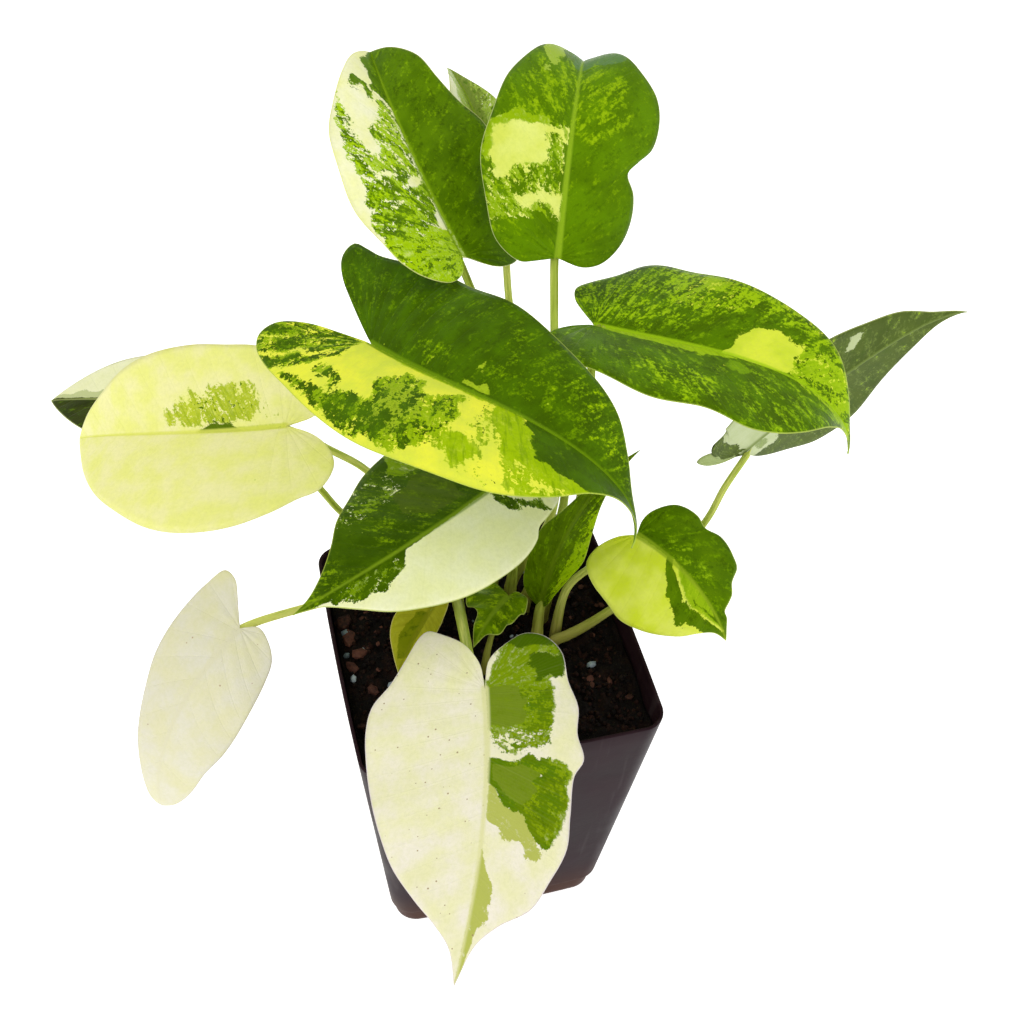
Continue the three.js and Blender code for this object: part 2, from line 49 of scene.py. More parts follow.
# Camera: where it stands, what it looks at, how far it is turned about its own axis, and its lens
CAMERA_AT = (-75, -275, 458)
CAMERA_AIM = (23, 53, 115)
CAMERA_ROLL_DEG = 3.65
LENS = 47
SENSOR = 36

# Studio: an even white surround, a large soft light from the upper left and a weaker one from the right
SURROUND_STRENGTH = 0.62
KEY_AT = (-700, -500, 1400)
KEY_SIZE = 1100
KEY_POWER = 9
FILL_AT = (900, -300, 900)
FILL_SIZE = 900
FILL_POWER = 3
FLOOR_REACH = 3000
FLOOR_COLOUR = (0.92, 0.92, 0.92, 1)
FLOOR_GLOW = 0.75
WHITE = (1, 1, 1, 1)

# Pot, as in the frame
POT_TOP_WIDTH = 98
POT_BASE_WIDTH = 76
POT_HEIGHT = 115
POT_WALL = 1.2
POT_FOOT_HEIGHT = 10
POT_FOOT_STEP = 1
POT_STEP_EASE = 0.6
POT_CORNER = 8
POT_SIDE_BULGE = 0.6
POT_BASE_BEVEL = 1.5
POT_LIP = 0.5
POT_FLOOR_BEND = 1
POT_SIDE_STEPS = 16
POT_CORNER_STEPS = 12
BEVEL_STEPS = 4
LIP_STEPS = 6
# Where the rings of the wall lie, as bands from one height to another with a number of rings: below the
# step at the foot, over the step and above it
POT_BANDS = [(POT_BASE_BEVEL, POT_FOOT_HEIGHT - 1, 5), (POT_FOOT_HEIGHT - 0.8, POT_FOOT_HEIGHT + 0.8, 7),
             (POT_FOOT_HEIGHT + 2, POT_HEIGHT - POT_LIP, 16)]
# The cosine and the sine of the turn to each side of the pot
QUARTER_TURNS = [(1, 0), (0, 1), (-1, 0), (0, -1)]
SLOT_WIDTH = 20
SLOT_HEIGHT = 3
SLOT_DEPTH = 8
SLOT_OUTSIDE = 3
SLOT_BELOW = 1
SLOT_BOTTOM = -2
SLOT_STEPS = 12

# Potting mix, with its level below the pot's rim
SOIL_LEVEL = POT_HEIGHT - 9
SOIL_BUMP = 1.3
SOIL_GAP = 0.3
SOIL_FLOOR = 1.5
SOIL_EDGE_DROP = 3
SOIL_WALL_RINGS = 14
SOIL_RINGS = 60
# Waves of its top: share of the bump's height, radians per millimetre along X and Y, and phase
SOIL_WAVES = [(0.4, 0.16, 0.05, 0.6), (0.35, -0.06, 0.14, -0.4), (0.25, 0.39, 0.27, 1.1)]
# Crumble over those waves, as plane waves: shortest, longest, and height as a share of their length
SOIL_CRUMBLE = (2.2, 9, 0.022)
WAVE_COUNT = 48
# Larger pieces that lie where the photograph shows them: place across the soil, and length
LARGE_CHIPS = [(35, 17, 4), (32, -19, 3), (38, -22, 3.4), (43, -29, 3.6), (36, 13, 3), (-44, 20, 7),
               (-43, 13, 8), (-41, 6, 7), (-44, 1, 6), (-39, -10, 5), (-45, -22, 4), (24, -30, 4)]
LARGE_PERLITE = [(34, -14, 4.2), (-44, 16, 4), (-44.5, -4, 3.6), (-31, -11, 3), (-33, -9, 2.6), (-45, 7, 3)]
# Loose grains: the placed ones, how many more are scattered and between which lengths, their height as a
# share of the length, how far their corners are moved in and out, and the look of their surface
GRAINS = [
    dict(name="crumbs", placed=[], count=2600, sizes=(0.7, 2.4), flatness=0.8, dents=0.25,
         material="peat_crumb", dark=(8, 4, 3), light=(36, 16, 9), roughness=0.9, pits=700.0),
    dict(name="bark_chips", placed=LARGE_CHIPS, count=150, sizes=(1.2, 3.2), flatness=0.42, dents=0.22,
         material="bark", dark=(16, 8, 6), light=(86, 52, 42), roughness=0.75, pits=500.0),
    dict(name="perlite", placed=LARGE_PERLITE, count=16, sizes=(1.0, 2.4), flatness=0.8, dents=0.15,
         material="perlite", dark=(96, 110, 118), light=(160, 172, 180), roughness=0.85, pits=900.0),
]
# Grains flatter than this lie down, tilted by up to so many radians
LIES_BELOW = 0.6
LYING_TILT = 0.5
GRAIN_BREADTH = (0.6, 0.9)
GRAIN_HEIGHT = (0.8, 1.2)
GRAIN_SINK = 0.25
SCATTER_CLEAR = 2
SCATTER_CORNER = 6

# Blades
HALF_THICKNESS = 0.26
MARGIN_HALF_THICKNESS = 0.1
MARGIN_THINS_OVER = 1.4
# The share of the margin that the side veins at the junction fan out to, and how the others lean forwards
FAN_SHARE = 0.3
VEIN_LEAN = 1.5
# The cup is reached at this share of the length out from the midrib. Each face starts to tilt with the arc
# over this distance, and the fold's growth towards the tip has this power.
CUP_REACH = 0.35
TILT_STARTS_OVER = 1
TIP_FOLD_POWER = 3
MIDRIB_STEPS = 32
MARGIN_STEPS = 24
BLADE_COLUMNS = 150
BLADE_ROWS = 24
ROW_CROWDING = 1.6
# Midrib: half its width at the junction and at the tip, the depth of its groove above and of its keel below
RIB_FOOT = 1.15
RIB_TIP = 0.22
RIB_TAPER = 0.7
RIB_GROOVE = 0.3
RIB_KEEL = 0.75
# Furrows over the side veins: their spacing along the margin, their depth, the share of the margin over
# which they start, and one over the share of the way out at which they end
FURROW_SPACING = 9
FURROW_DEPTH = 0.09
FURROW_STARTS = 0.1
FURROW_ENDS = 1.15

# Stalks
STALK_SIDES = 24
STALK_STEPS = 10
PLANTED_DEPTH = 7
HOLE_RISE = 1
PETIOLE_REACH = 1
TAPER_SHARE = 0.6
STALK_CLEAR = 0.65
STALK_GROOVE = 0.16
STALK_GROOVE_POWER = 8
STALK_SHEATH = 0.45
SHEATH_REACH = 12
SLIGHT_RISE = 0.001
# How far past the junction a stalk runs along the midrib, how deep it lies under it there, and how it thins
STALK_JOINS_AT = (0.0, 6.0, 14.0)
STALK_UNDER_RIB = 0.9
STALK_TIP_UNDER_RIB = 0.8
STALK_FADE = (-0.25, 0.9)
STALK_FADE_POWER = 0.8

# One entry per leaf. The blade's junction with its stalk is at `base`, and its midrib starts towards
# `heading` (degrees from +X) at `pitch`. It droops by `droop` and swings by `sway` towards the tip, where
# `curl` gathers the droop near the end. `roll` and `twist` turn the blade about its midrib, `fold` lifts
# the halves, `tip_fold` lifts them further near the tip, `cup` bends them back down and `lobe` lifts the
# lobes behind the junction. `wave` holds the height and the number of waves of the margin. An outline runs
# from the junction round a lobe to the tip, as distances (along the midrib, across it), left above and
# right below. `foot`, `via` and `radii` are the stalk's foot in the soil, the points it passes and its
# radii at the foot and at the junction. `tone` is the stalk's colour, from 0 for cream to 1 for olive
# green. `merge` shortens the stalk's run along the midrib, and a stalk that is `end_on` meets the blade
# head on.
LEAVES = [
    dict(name="centre", slot="leaf_green", base=(-31, 20, 225),
         heading=-62, pitch=8, roll=12, length=109, droop=110, curl=2.7, sway=40,
         fold=22, cup=45, lobe=40, twist=-14, wave=(0.8, 4),
         left=[(-12, 6), (-24, 10), (-32.6, 15.6), (-34.9, 19.8), (-34.8, 22.4), (-30, 23.4), (-24, 24),
               (-14, 28), (-5, 32), (9, 33.5), (25, 34), (44, 30), (61, 24), (74, 17), (83, 9), (92, 2.5)],
         right=[(-11, -4), (-20, -8), (-26, -14), (-26, -20), (-22, -24), (-14, -26.5), (-2, -28), (12, -30),
                (30, -32), (46, -31), (60, -28), (70, -22), (78, -13), (86, -6), (95, -2)],
         foot=(12, 13), via=[(17, 25, 150), (16, 28, 174), (-6, 26, 205)], radii=(2.0, 1.6), tone=0.75),
    dict(name="right", slot="leaf_green", base=(38, 29, 215),
         heading=-38, pitch=5, roll=-8, length=96, droop=90, curl=2.7, sway=17,
         fold=17, cup=21, lobe=0, twist=25, wave=(0.9, 4),
         left=[(-5, 4), (-10, 9), (-12, 15), (-9, 21), (-3, 28), (2, 35), (9, 37.5), (23, 35), (39, 29),
               (56, 24.5), (69, 18), (80, 8), (87, 2.5)],
         right=[(-6, -10), (-8, -17), (-4, -25), (3, -30), (12, -31), (24, -32), (38, -30), (50, -31),
                (58, -27), (67, -20), (76, -10), (84, -3)],
         foot=(23, 9), via=[(33, 12, 158), (36, 20, 190)], radii=(2.0, 1.4), tone=0.7),
    dict(name="back_left", slot="leaf_green", base=(0, 43, 235),
         heading=113, pitch=33, roll=20, length=81, droop=34, curl=1.7, sway=-24,
         fold=18, cup=34, lobe=0, twist=-16, wave=(0.8, 4), tip_fold=24,
         left=[(-6, 6), (-8, 13), (-5, 20), (1, 26), (8, 28), (16, 29), (27, 28), (40, 26), (52, 20),
               (63, 14), (73, 8)],
         right=[(-6, -8), (-7, -14), (-5, -21), (4, -27), (18, -30), (32, -30), (44, -27), (52, -21),
                (60, -16.5), (70, -13), (77, -7)],
         foot=(14, 20), via=[(21, 34, 155), (11, 40, 200), (2.6, 42.5, 224)], radii=(1.8, 1.3), tone=0.72),
    dict(name="back_right", slot="leaf_green", base=(27, 37, 235),
         heading=69, pitch=56, roll=26, length=90, droop=110, curl=1.7, sway=0,
         fold=12, cup=50, lobe=0, twist=-28, wave=(0.7, 4), tip_fold=29,
         left=[(-1, 6), (-2, 12), (3, 19), (13, 23), (26, 26), (40, 24), (53, 21), (66, 15), (77, 8),
               (86, 3)],
         right=[(-2, -8), (0, -15), (6, -21), (13, -23), (22, -22), (28, -19), (33, -22), (39, -26),
                (49, -26.5), (58, -24), (66, -17), (74, -11), (82, -6)],
         foot=(18, 15), via=[(31, 21, 149), (27, 30, 200), (26.2, 34, 222)], radii=(2.0, 1.4), tone=0.5),
    dict(name="back_middle", slot="leaf_cream", base=(19, 63, 227),
         heading=90, pitch=29, roll=22, length=76, droop=36, curl=1.5, sway=6,
         fold=34, cup=20, lobe=0, twist=0, wave=(0.6, 3),
         left=[(-4, 3), (-6, 8), (-2, 13), (6, 17), (18, 19), (32, 18), (46, 14), (58, 9), (68, 4)],
         right=[(-4, -3), (-6, -8), (-2, -12), (6, -15), (18, -16), (32, -14), (46, -10), (58, -6),
                (68, -2.5)],
         foot=(16, 25), via=[(31, 30, 141), (21, 46, 190), (18.4, 55, 207)], radii=(1.8, 1.3), tone=0.3),
    dict(name="left", slot="leaf_cream", base=(-55, 47, 175),
         heading=166, pitch=-11, roll=-20, length=88, droop=24, curl=1.4, sway=-38,
         fold=20, cup=15, lobe=-14, twist=-28, wave=(0.8, 3),
         left=[(-9, 5), (-15, 12), (-17, 19), (-13, 27), (-6, 30), (2, 34), (12, 37), (25, 37), (39, 34),
               (52, 28), (63, 22), (74, 14), (82, 6)],
         right=[(-9, -2), (-15, -7), (-14, -16), (-4, -23), (8, -27), (20, -28), (34, -29), (47, -27),
                (59, -22), (70, -15), (80, -8)],
         foot=(-7, 32), via=[(-17, 41, 130), (-29, 48, 149), (-42, 48, 162)], radii=(1.8, 1.4), tone=0.25),
    dict(name="far_left", slot="leaf_cream", base=(-65, 92, 145),
         heading=158, pitch=-2, roll=-8, length=78, droop=18, curl=1.5, sway=-8,
         fold=8, cup=8, lobe=0, twist=0, wave=(0.6, 3),
         left=[(-6, 3), (-10, 8), (-8, 15), (0, 20), (14, 24), (28, 25), (42, 22), (54, 17), (62, 12.5),
               (70.5, 6.5), (75, 2.8)],
         right=[(-6, -3), (-10, -8), (-8, -15), (0, -20), (14, -24), (28, -25), (42, -22), (56, -17),
                (66, -11.5), (73, -5.5)],
         foot=(-13, 29), via=[(-27, 41, 122), (-39, 48, 132), (-46, 52, 142)], radii=(1.8, 1.3), tone=0.5),
    dict(name="inner_left", slot="leaf_green", base=(11, 17, 170),
         heading=-138, pitch=9, roll=-9, length=89, droop=14, curl=1.4, sway=-18,
         fold=-6, cup=8, lobe=0, twist=3, wave=(0.8, 3),
         left=[(-7, 4), (-10, 10), (-6, 16), (2, 18), (9, 19), (14, 22), (24, 24.5), (36, 24), (48, 22),
               (58, 19), (66, 15), (74, 8), (81, 2.5)],
         right=[(-7, -6), (-10, -14), (-6, -24), (3, -31), (14, -34.5), (25, -34), (36, -32), (47, -27),
                (58, -21), (66, -14), (75, -7), (83, -2)],
         foot=(7, 17), via=[(8, 17, 130), (11, 19, 155)], radii=(1.9, 1.5), tone=0.85),
    dict(name="lower_left", slot="leaf_cream", base=(-78, -3, 140),
         heading=-149, pitch=-24, roll=-33, length=71, droop=72, curl=1.4, sway=12,
         fold=-10, cup=30, lobe=0, twist=14, wave=(0.5, 3),
         left=[(-4, 4), (-3, 9), (1, 15), (8, 18), (20, 20), (33, 20), (44, 18), (53, 14), (61, 11),
               (67, 7.5), (70.5, 3.5)],
         right=[(-5, -6), (-10, -12), (-10, -17), (-3, -18.5), (10, -18.5), (21, -17), (31, -14),
                (43, -10.5), (53, -7.5), (62, -5.5), (68, -4), (70.8, -1.8)],
         foot=(-11, 23), via=[(-14, 23, 113), (-32, 20, 121), (-55, 11, 129)], radii=(1.8, 1.4), tone=0),
    dict(name="front", slot="leaf_cream", base=(-10, -41, 140),
         heading=-99, pitch=-5, roll=5, length=87, droop=18, curl=1.7, sway=-19,
         fold=-16, cup=-7, lobe=0, twist=0, wave=(0.8, 5),
         left=[(-10, 2), (-17, 8), (-21, 14), (-20, 20), (-14, 25), (-4, 26), (5, 28), (14, 27), (21, 28.5),
               (26, 25.5), (38, 24.5), (47, 24), (56, 20), (64, 16), (70, 8), (76, 3)],
         right=[(-9, -1), (-18, -6), (-23.4, -13), (-25, -16.6), (-23.6, -19), (-16, -24), (-9, -29),
                (-2, -35), (8, -37), (22, -36.5), (35, -34), (47, -30), (57, -25), (66, -17), (72, -10),
                (78, -4)],
         foot=(-4, 25), via=[(-6, 13, 118), (-9, -11, 127.5), (-11, -29, 135)], radii=(2.2, 1.9), tone=0.4),
    dict(name="lower_right", slot="leaf_green", base=(52, 6, 145),
         heading=-42, pitch=-14, roll=24, length=49, droop=50, curl=1.1, sway=-9,
         fold=-2, cup=13, lobe=0, twist=7, wave=(0.6, 4),
         left=[(-1, 5), (0, 10), (5, 17), (12, 18.5), (16, 17), (21, 18.5), (27.5, 17), (31, 15.6),
               (33.3, 11), (36, 8.6), (37, 6.8), (39, 3.5), (41.5, 3.2), (45, 1.6)],
         right=[(-5, -4), (-9, -11), (-9, -17), (-3, -22), (6, -24.5), (15, -26), (24, -24), (32, -20),
                (38, -14), (41, -8), (44, -3)],
         foot=(26, 2), via=[(30, 6, 124), (38, 6, 133)], radii=(1.6, 1.4), tone=0.2),
    dict(name="far_right", slot="leaf_green", base=(91.8, 21.7, 160),
         heading=12, pitch=35, roll=-70, length=87, droop=41.5, curl=6.9, sway=-12.7,
         fold=6, cup=8, lobe=200, twist=-18, wave=(0.7, 4),
         left=[(-2, -4), (-6, -9.5), (-13, -12.4), (-20, -13.7), (-24.6, -12), (-24.6, -9.6), (-18, -8.4),
               (-11, -6.4), (-4, -0.5), (-1.8, 3.2), (1, 9), (5, 20), (13, 32), (22, 38.5), (31, 36),
               (39, 31), (50, 22), (61, 14), (68, 9), (76, 3.5), (81, 1.5)],
         right=[(-2, -5), (-6.7, -11.8), (-14, -16.2), (-20, -18.8), (-26.5, -20.5), (-25, -24), (-18, -28),
                (-8, -31), (6, -34), (20, -33), (32, -29), (44, -24), (56, -16), (66, -11), (75, -4),
                (81, -1.5)],
         foot=(24, -3), via=[(28.4, -3, 110), (37.5, -2, 114), (58, 0, 129.5), (79, 12, 140),
                             (86, 17, 149.5)],
         radii=(1.6, 1.3), tone=0.3, merge=0.35),
    dict(name="young", slot="leaf_green", base=(20, 3, 120),
         heading=-9, pitch=84, roll=60, length=77, droop=35, curl=1.5, sway=-3,
         fold=14, cup=20, lobe=0, twist=0, wave=(0.4, 3),
         left=[(2, 3), (8, 7), (20, 8.5), (34, 8), (43, 5), (54, 3), (66, 1.5)],
         right=[(2, -2), (9, -4), (20, -7), (31, -9), (42, -7), (54, -4), (66, -1.5)],
         foot=(18, -2), via=[(19, 1, 114)], radii=(2.2, 1.6), tone=0.6, end_on=True),
    dict(name="crinkled", slot="leaf_green", base=(9, 4, 127),
         heading=-139, pitch=3, roll=0, length=23, droop=29, curl=1.5, sway=11,
         fold=0, cup=20, lobe=0, twist=0, wave=(1.2, 5),
         left=[(-3, 1), (-4, 4), (-1, 7), (4, 8), (9, 6.5), (14, 6), (18, 2)],
         right=[(-1, -3), (-3, -8), (0, -12), (6, -13), (10, -9), (11, -5), (14, -4), (19, -2)],
         foot=(-1, -8), via=[(0, -6, 113), (5, 1, 121)], radii=(1.3, 0.9), tone=0.6),
    dict(name="olive", slot="leaf_green", base=(-15, 9, 122),
         heading=-132, pitch=-9, roll=0, length=26, droop=26, curl=1.5, sway=4,
         fold=20, cup=20, lobe=0, twist=0, wave=(0.3, 2),
         left=[(-3, 1.5), (-3, 4), (4, 6), (10, 6.5), (16, 5.5), (21, 3)],
         right=[(-3, -1.5), (-3, -5), (3, -8.5), (9, -9.5), (15, -8), (21, -4)],
         foot=(-12, 14), via=[(-13, 12, 115)], radii=(1.2, 0.9), tone=0.8),
]

# Where each leaf is green, lime, pale, sage or dark, and otherwise its light ground, which a "cream" patch
# bares again. `patches` are painted in order, as corners (along the midrib, across it) in millimetres.
# Inside a `marbled` zone green and lime break up: its three numbers are how far green and lime prevail
# there, and how coarsely they are torn. Patches in `over` are painted after those zones. In `mottled` zones
# the green has lighter spots, and in `flecked` ones there are small flecks, by an amount from 0 to 1.
# The sage patches are sage markings, except on back_right and inner_left, where they are painted sheen: a
# reflection painted into the leaf's colour.
LEFT_HALF = [(-60, 0), (-60, 50), (130, 50), (130, 0)]
RIGHT_HALF = [(-60, 0), (-60, -50), (130, -50), (130, 0)]
WHOLE = [(-60, -50), (-60, 50), (130, 50), (130, -50)]
MARKINGS = {
    "centre": dict(
        patches=[
            ("green", LEFT_HALF),
            ("sage_and_sheen", [(32.5, 0), (33, 9), (36, 11), (38, 9.5), (42, 5.5), (44.5, 1), (44, 0)]),
            ("green", [(33, 2.5), (33.5, 6.5), (37, 8), (39.5, 6), (39, 3)]),
            ("sage_and_sheen", [(19.5, 0.5), (20, 9.5), (22.5, 8), (23, 0.5)]),
            ("sage_and_sheen", [(34, -12), (33, -24), (28, -30), (19, -27), (19, -12), (24, -8), (29, -9)]),
            ("lime", [(46, 0), (47, -5), (50, -11), (54, -15), (58, -18), (66, -20), (75, -18), (84, -12),
                      (90, -9), (76, -10), (66, -10), (58, -5), (54, 0)]),
            ("lime", [(44, -16), (47, -15), (52, -19), (53, -26), (50, -27.5), (45, -25), (42, -20)]),
            ("lime", [(1, -0.2), (46, -0.2), (46, -2.4), (40, -1.6), (20, -1.6), (4, -1.2)]),
            ("green", [(55, 1), (56, -3), (59, -6.5), (61, -9.5), (64, -12.5), (68, -13.5), (74, -13),
                       (80, -11), (86, -9), (92, -8), (97, -3), (112, 1)]),
        ],
        marbled=[
            (-0.3, 2.2, 3.8, [(41, -3), (41, -9), (43, -18), (44, -22), (40, -25), (39.5, -30), (31, -31),
                              (20, -31), (18, -21), (17, -15), (15, -11), (18, -7), (18, -3.5), (26, -3.5),
                              (28, -6.5), (31, -8.5), (34, -5), (37, -3)]),
            (1.4, 1.5, 3.5, [(32, -23), (31, -30), (20, -29.5), (10, -28.5), (4, -27.5), (-6, -26.8),
                             (-14, -27), (-6, -24), (2, -22), (10, -20.5), (13, -18), (17, -18), (19, -21),
                             (25, -20)]),
            (0.3, 0.5, 3.0, [(2, -13), (5, -15), (9, -18), (10, -21), (2, -20.5), (-4, -19), (-1, -15)]),
            (-5, -0.8, 3.0, [(43, -1), (44, -16), (52, -18), (56, -17), (50, -9), (46, -1)]),
            (-5, -2.2, 2.5, [(54, -20), (46, -29), (50, -32), (62, -30), (66, -25), (58, -21)]),
            (-5, 0.9, 3.0, [(56, -18), (60, -24), (66, -27), (76, -21), (84, -14), (76, -18), (66, -19)]),
            (0.5, 0.9, 4, [(-1, -1), (-12, -3), (-24, -8), (-32, -16), (-28, -27), (-16, -29), (-10, -25),
                           (-6, -22), (-3, -16), (0, -10)]),
        ],
        over=[("cream", [(0, -6.5), (-1, -9), (-9, -18), (-18, -25), (-19, -23.5), (-10, -15)]),
              ("sage_and_sheen", [(-2, -2), (-13, -6), (-12, -8), (-6, -6.5), (-1, -4.5)])],
        mottled=[(0.3, [(36, 3), (36, 26), (60, 28), (88, 10), (88, 1), (60, 2)]),
                 (0.7, [(72, 3), (60, 14), (60, 22), (74, 17), (86, 8), (88, 2)]),
                 (0.5, [(12, 0.5), (12, 9), (24, 10), (24, 0.5)]),
                 (0.55, [(-36, 8), (-36, 15), (-20, 9), (-6, 4), (-6, 2)]),
                 (0.2, [(-36, 8), (-36, 28), (0, 34), (30, 34), (34, 24), (0, 14), (-10, 4)])]),
    "right": dict(
        patches=[
            ("green", WHOLE),
            ("lime", [(0, 1), (20, 1.2), (40, 1), (46, -0.6), (60, -0.6), (52, -2.6), (44, -3.6), (36, -5),
                      (35, -7.5), (33.5, -11), (31, -10), (31, -6), (20, -5.6), (8, -5), (2, -3.6)]),
            ("sage_and_sheen", [(43, -2), (48, -3), (50, -8), (46, -11.5), (41, -9), (40, -3)]),
        ],
        marbled=[
            (0.9, 1.2, 3.5, [(22, 13), (34, 15), (45, 19), (44, 27), (36, 34), (18, 37), (12, 32),
                             (18, 20)]),
            (-1.0, 2.2, 3.2, [(56, 13), (66, 14), (78, 11), (90, 4), (90, -3), (80, -5), (66, -3), (59, 1)]),
            (0.5, 1.2, 3.0, [(30, 30), (46, 25), (66, 18), (80, 9), (82, 12), (66, 23), (46, 31), (32, 35)]),
            (-2, 0.4, 3.0, [(27, 24), (33, 24), (32, 30), (26, 31)]),
        ],
        over=[
            ("green", [(29, 1), (38, 1), (45, 13), (43, 17), (37, 15), (30, 9)]),
            ("cream", [(38.5, 0), (44, 8), (49.5, 13.5), (55, 14), (57, 10.5), (61, 9.5), (60, 5), (62, 3),
                       (60, 1), (50, -1), (44, -1)]),
        ],
        mottled=[(1.0, [(-10, 2), (-16, 12), (-12, 26), (0, 42), (24, 42), (45, 34), (78, 20), (86, 4),
                        (60, 12), (44, 19), (28, 8), (10, 2)]),
                 (0.8, [(16, -14), (20, -27), (40, -28), (44, -16), (34, -12)]),
                 (0.5, [(48, -2), (48, -34), (72, -22), (88, -4)]), (0.2, WHOLE)]),
    "back_left": dict(
        patches=[
            ("green", [(-15, -0.5), (-15, -40), (60, -40), (90, -8), (84, 0), (79, 1.5), (75, 3), (70, 5.5),
                       (62, 5.5), (58, 6.2), (55, 2.5), (51, 0.3)]),
            ("green", [(53, 8.5), (52, 11), (55, 13), (60, 13), (61.5, 10), (60, 7), (56, 6.5)]),
        ],
        marbled=[
            (-0.1, 0.9, 3.5, [(20, 0), (54, 0.5), (54, 7), (46, 8), (45, 12), (41, 13), (35, 12), (35, 17),
                             (45, 17), (56, 17), (55, 19.5), (45, 22), (35, 23), (28, 24), (22, 22),
                             (20, 10)]),
            (1.2, 1.4, 3.5, [(26, 8), (27, 20), (22, 25), (12, 27.5), (7, 28), (6, 18), (8, 4), (20, 0),
                             (26, 0)]),
            (-1.0, 4.5, 4, [(9, -0.5), (8, 28), (4, 31), (-8, 26), (-12, 8), (-4, -0.5)]),
        ],
        over=[
            ("cream", [(33, 12.5), (40, 12.5), (44, 10.5), (50, 8), (57, 9), (56, 16), (46, 17), (36, 17)]),
            ("cream", [(24, 2), (27, 1), (27.5, 6), (24.5, 9), (21, 9), (20, 4)]),
            ("cream", [(27, 8), (28.5, 16), (27, 23), (25.5, 15), (26, 9)]),
            ("cream", [(16, 14), (19, 14), (18.5, 17), (16, 17)]),
        ],
        mottled=[(0.1, WHOLE), (0.85, [(26, 1), (26, 24), (44, 24), (58, 20), (58, 1)]),
                 (0.45, [(-10, 1), (-10, 28), (26, 28), (26, 1)])]),
    "back_right": dict(
        patches=[("green", WHOLE)],
        marbled=[
            (0.3, 1.0, 3.5, [(9, 0.5), (10, 12), (6, 20), (10, 25), (22, 26), (38, 24), (40, 14),
                             (38, 0.5)]),
        ],
        over=[
            ("lime", [(42, 7), (41.5, 14), (41, 20), (36, 26), (26, 28), (22, 24), (26, 18), (34, 12),
                      (37, 6)]),
            ("cream", [(25, 8), (28, 6.5), (33, 7), (34, 5), (33, 1.5), (37, 1.5), (37, 8), (36, 12),
                       (37, 16), (34, 21), (30, 23), (24, 22), (18, 22.5), (19, 19), (23, 15), (24, 11)]),
            ("cream", [(18, 0.8), (18.5, 7), (17.5, 11), (15, 15), (12.5, 13), (12, 9.5), (15, 8), (14, 5),
                       (10.5, 0.8)]),
            ("lime", [(15, 9.5), (15, 7), (10.5, 1.5), (10, 6), (12, 10.5)]),
            ("pale", [(54, 10), (58, 6.5), (66, 5), (78, 4), (73, 13), (66, 14), (58, 11), (54, 13)]),
            # Painted sheen: the bluish reflection on the curled tip, painted as a sage patch.
            ("sage_and_sheen", [(64, 4.5), (60, 3), (61, -4), (66, -14), (76, -14), (84, 0), (78, 5)]),
        ],
        mottled=[(0.05, WHOLE),
                 (0.7, [(36, 2), (36, 20), (64, 15), (66, 0), (60, -14), (42, -17), (32, -8), (34, -2)]),
                 (0.8, [(8, 13), (2, 20), (14, 26), (24, 26), (16, 16)])]),
    "back_middle": dict(
        patches=[("lime", [(-20, -30), (-20, 9), (90, 9), (90, -30)]),
                 ("sage_and_sheen", [(-20, -4), (-20, 2), (90, 2), (90, -4)])],
        marbled=[(-2, 2.4, 3, [(-20, -30), (-20, 8), (90, 8), (90, -30)])]),
    "left": dict(
        patches=[("lime", [(0, 0.9), (16, 0.7), (30, 0.3), (30, -0.6), (16, -1), (0, -1)])],
        marbled=[
            (-6, 0.9, 1.6, [(28, -1.5), (42, -1), (43, -7), (38, -11), (32, -13.5), (28, -10)]),
            (-6, 1.5, 3.2, [(10, -2.5), (28, -2), (32, -8), (31, -12), (26, -15), (19, -15), (10, -15),
                            (8, -8)]),
            (-6, -1.2, 2.5, [(2, -3), (9, -2), (9, -11), (4, -9)]),
        ],
        over=[("dark", [(14, 0.2), (18, -1.6), (21, -2.8), (25, -2.8), (28, -1.2), (31, 0.1)])]),
    "far_left": dict(
        patches=[
            ("pale", [(-20, 1), (-20, -5), (60, -4), (90, -1), (90, 1)]),
            ("green", [(-20, -0.8), (-20, 40), (90, 40), (90, -0.8)]),
        ]),
    "inner_left": dict(
        patches=[
            ("green", [(-15, 0), (-15, -40), (60, -40), (95, -8), (95, 0.5), (80, 2), (74, 4.5), (68, 6),
                       (60, 6), (55, 5), (52, 3.5), (50, 1), (20, 0)]),
            # Painted sheen: a grey reflection over the upper face, painted as a sage patch.
            ("sage_and_sheen", [(17, -2), (17, -20), (24, -22), (38, -20), (41, -10), (34, -3)]),
            ("lime", [(15, -22), (14, -32), (24, -35), (30, -30), (31, -24), (24, -21)]),
        ],
        marbled=[
            (1.5, 1.5, 4, [(0, 11), (-1, 19), (6, 14), (13, 10), (14, 3), (12, -0.5), (8, 3), (5, 9)]),
            (1.8, 1.8, 4, [(40, -17), (30, -22), (30, -35), (44, -32), (62, -22), (60, -14), (48, -17)]),
            (0.8, 2.0, 3, [(54, 1), (52, 6), (66, 8), (78, 4), (78, 1)]),
        ],
        mottled=[(0.65, [(42, 0), (42, -24), (54, -24), (54, 0)]),
                 (0.75, [(68, 5), (68, -14), (86, -3), (86, 2)]),
                 (0.9, [(14, -2), (14, -22), (40, -22), (40, -2)])],
        flecked=[(0.3, [(28, -8), (28, -30), (60, -20), (60, -8)])]),
    "lower_left": dict(patches=[], flecked=[(0.02, WHOLE)]),
    "front": dict(
        patches=[
            ("lime", [(0, 0.6), (-5, 2.5), (-12, 4.5), (-18, 7), (-20, 13), (-19, 20), (-14, 27), (-9, 26.5),
                      (-6, 22), (-3.5, 20), (2, 20), (4, 10)]),
            ("lime", [(-3, 0.3), (-3, 21), (14, 20), (14, 0.3)]),
            ("green", [(1, 9), (-1, 20), (11, 20), (15, 19), (15, 8), (10, 12)]),
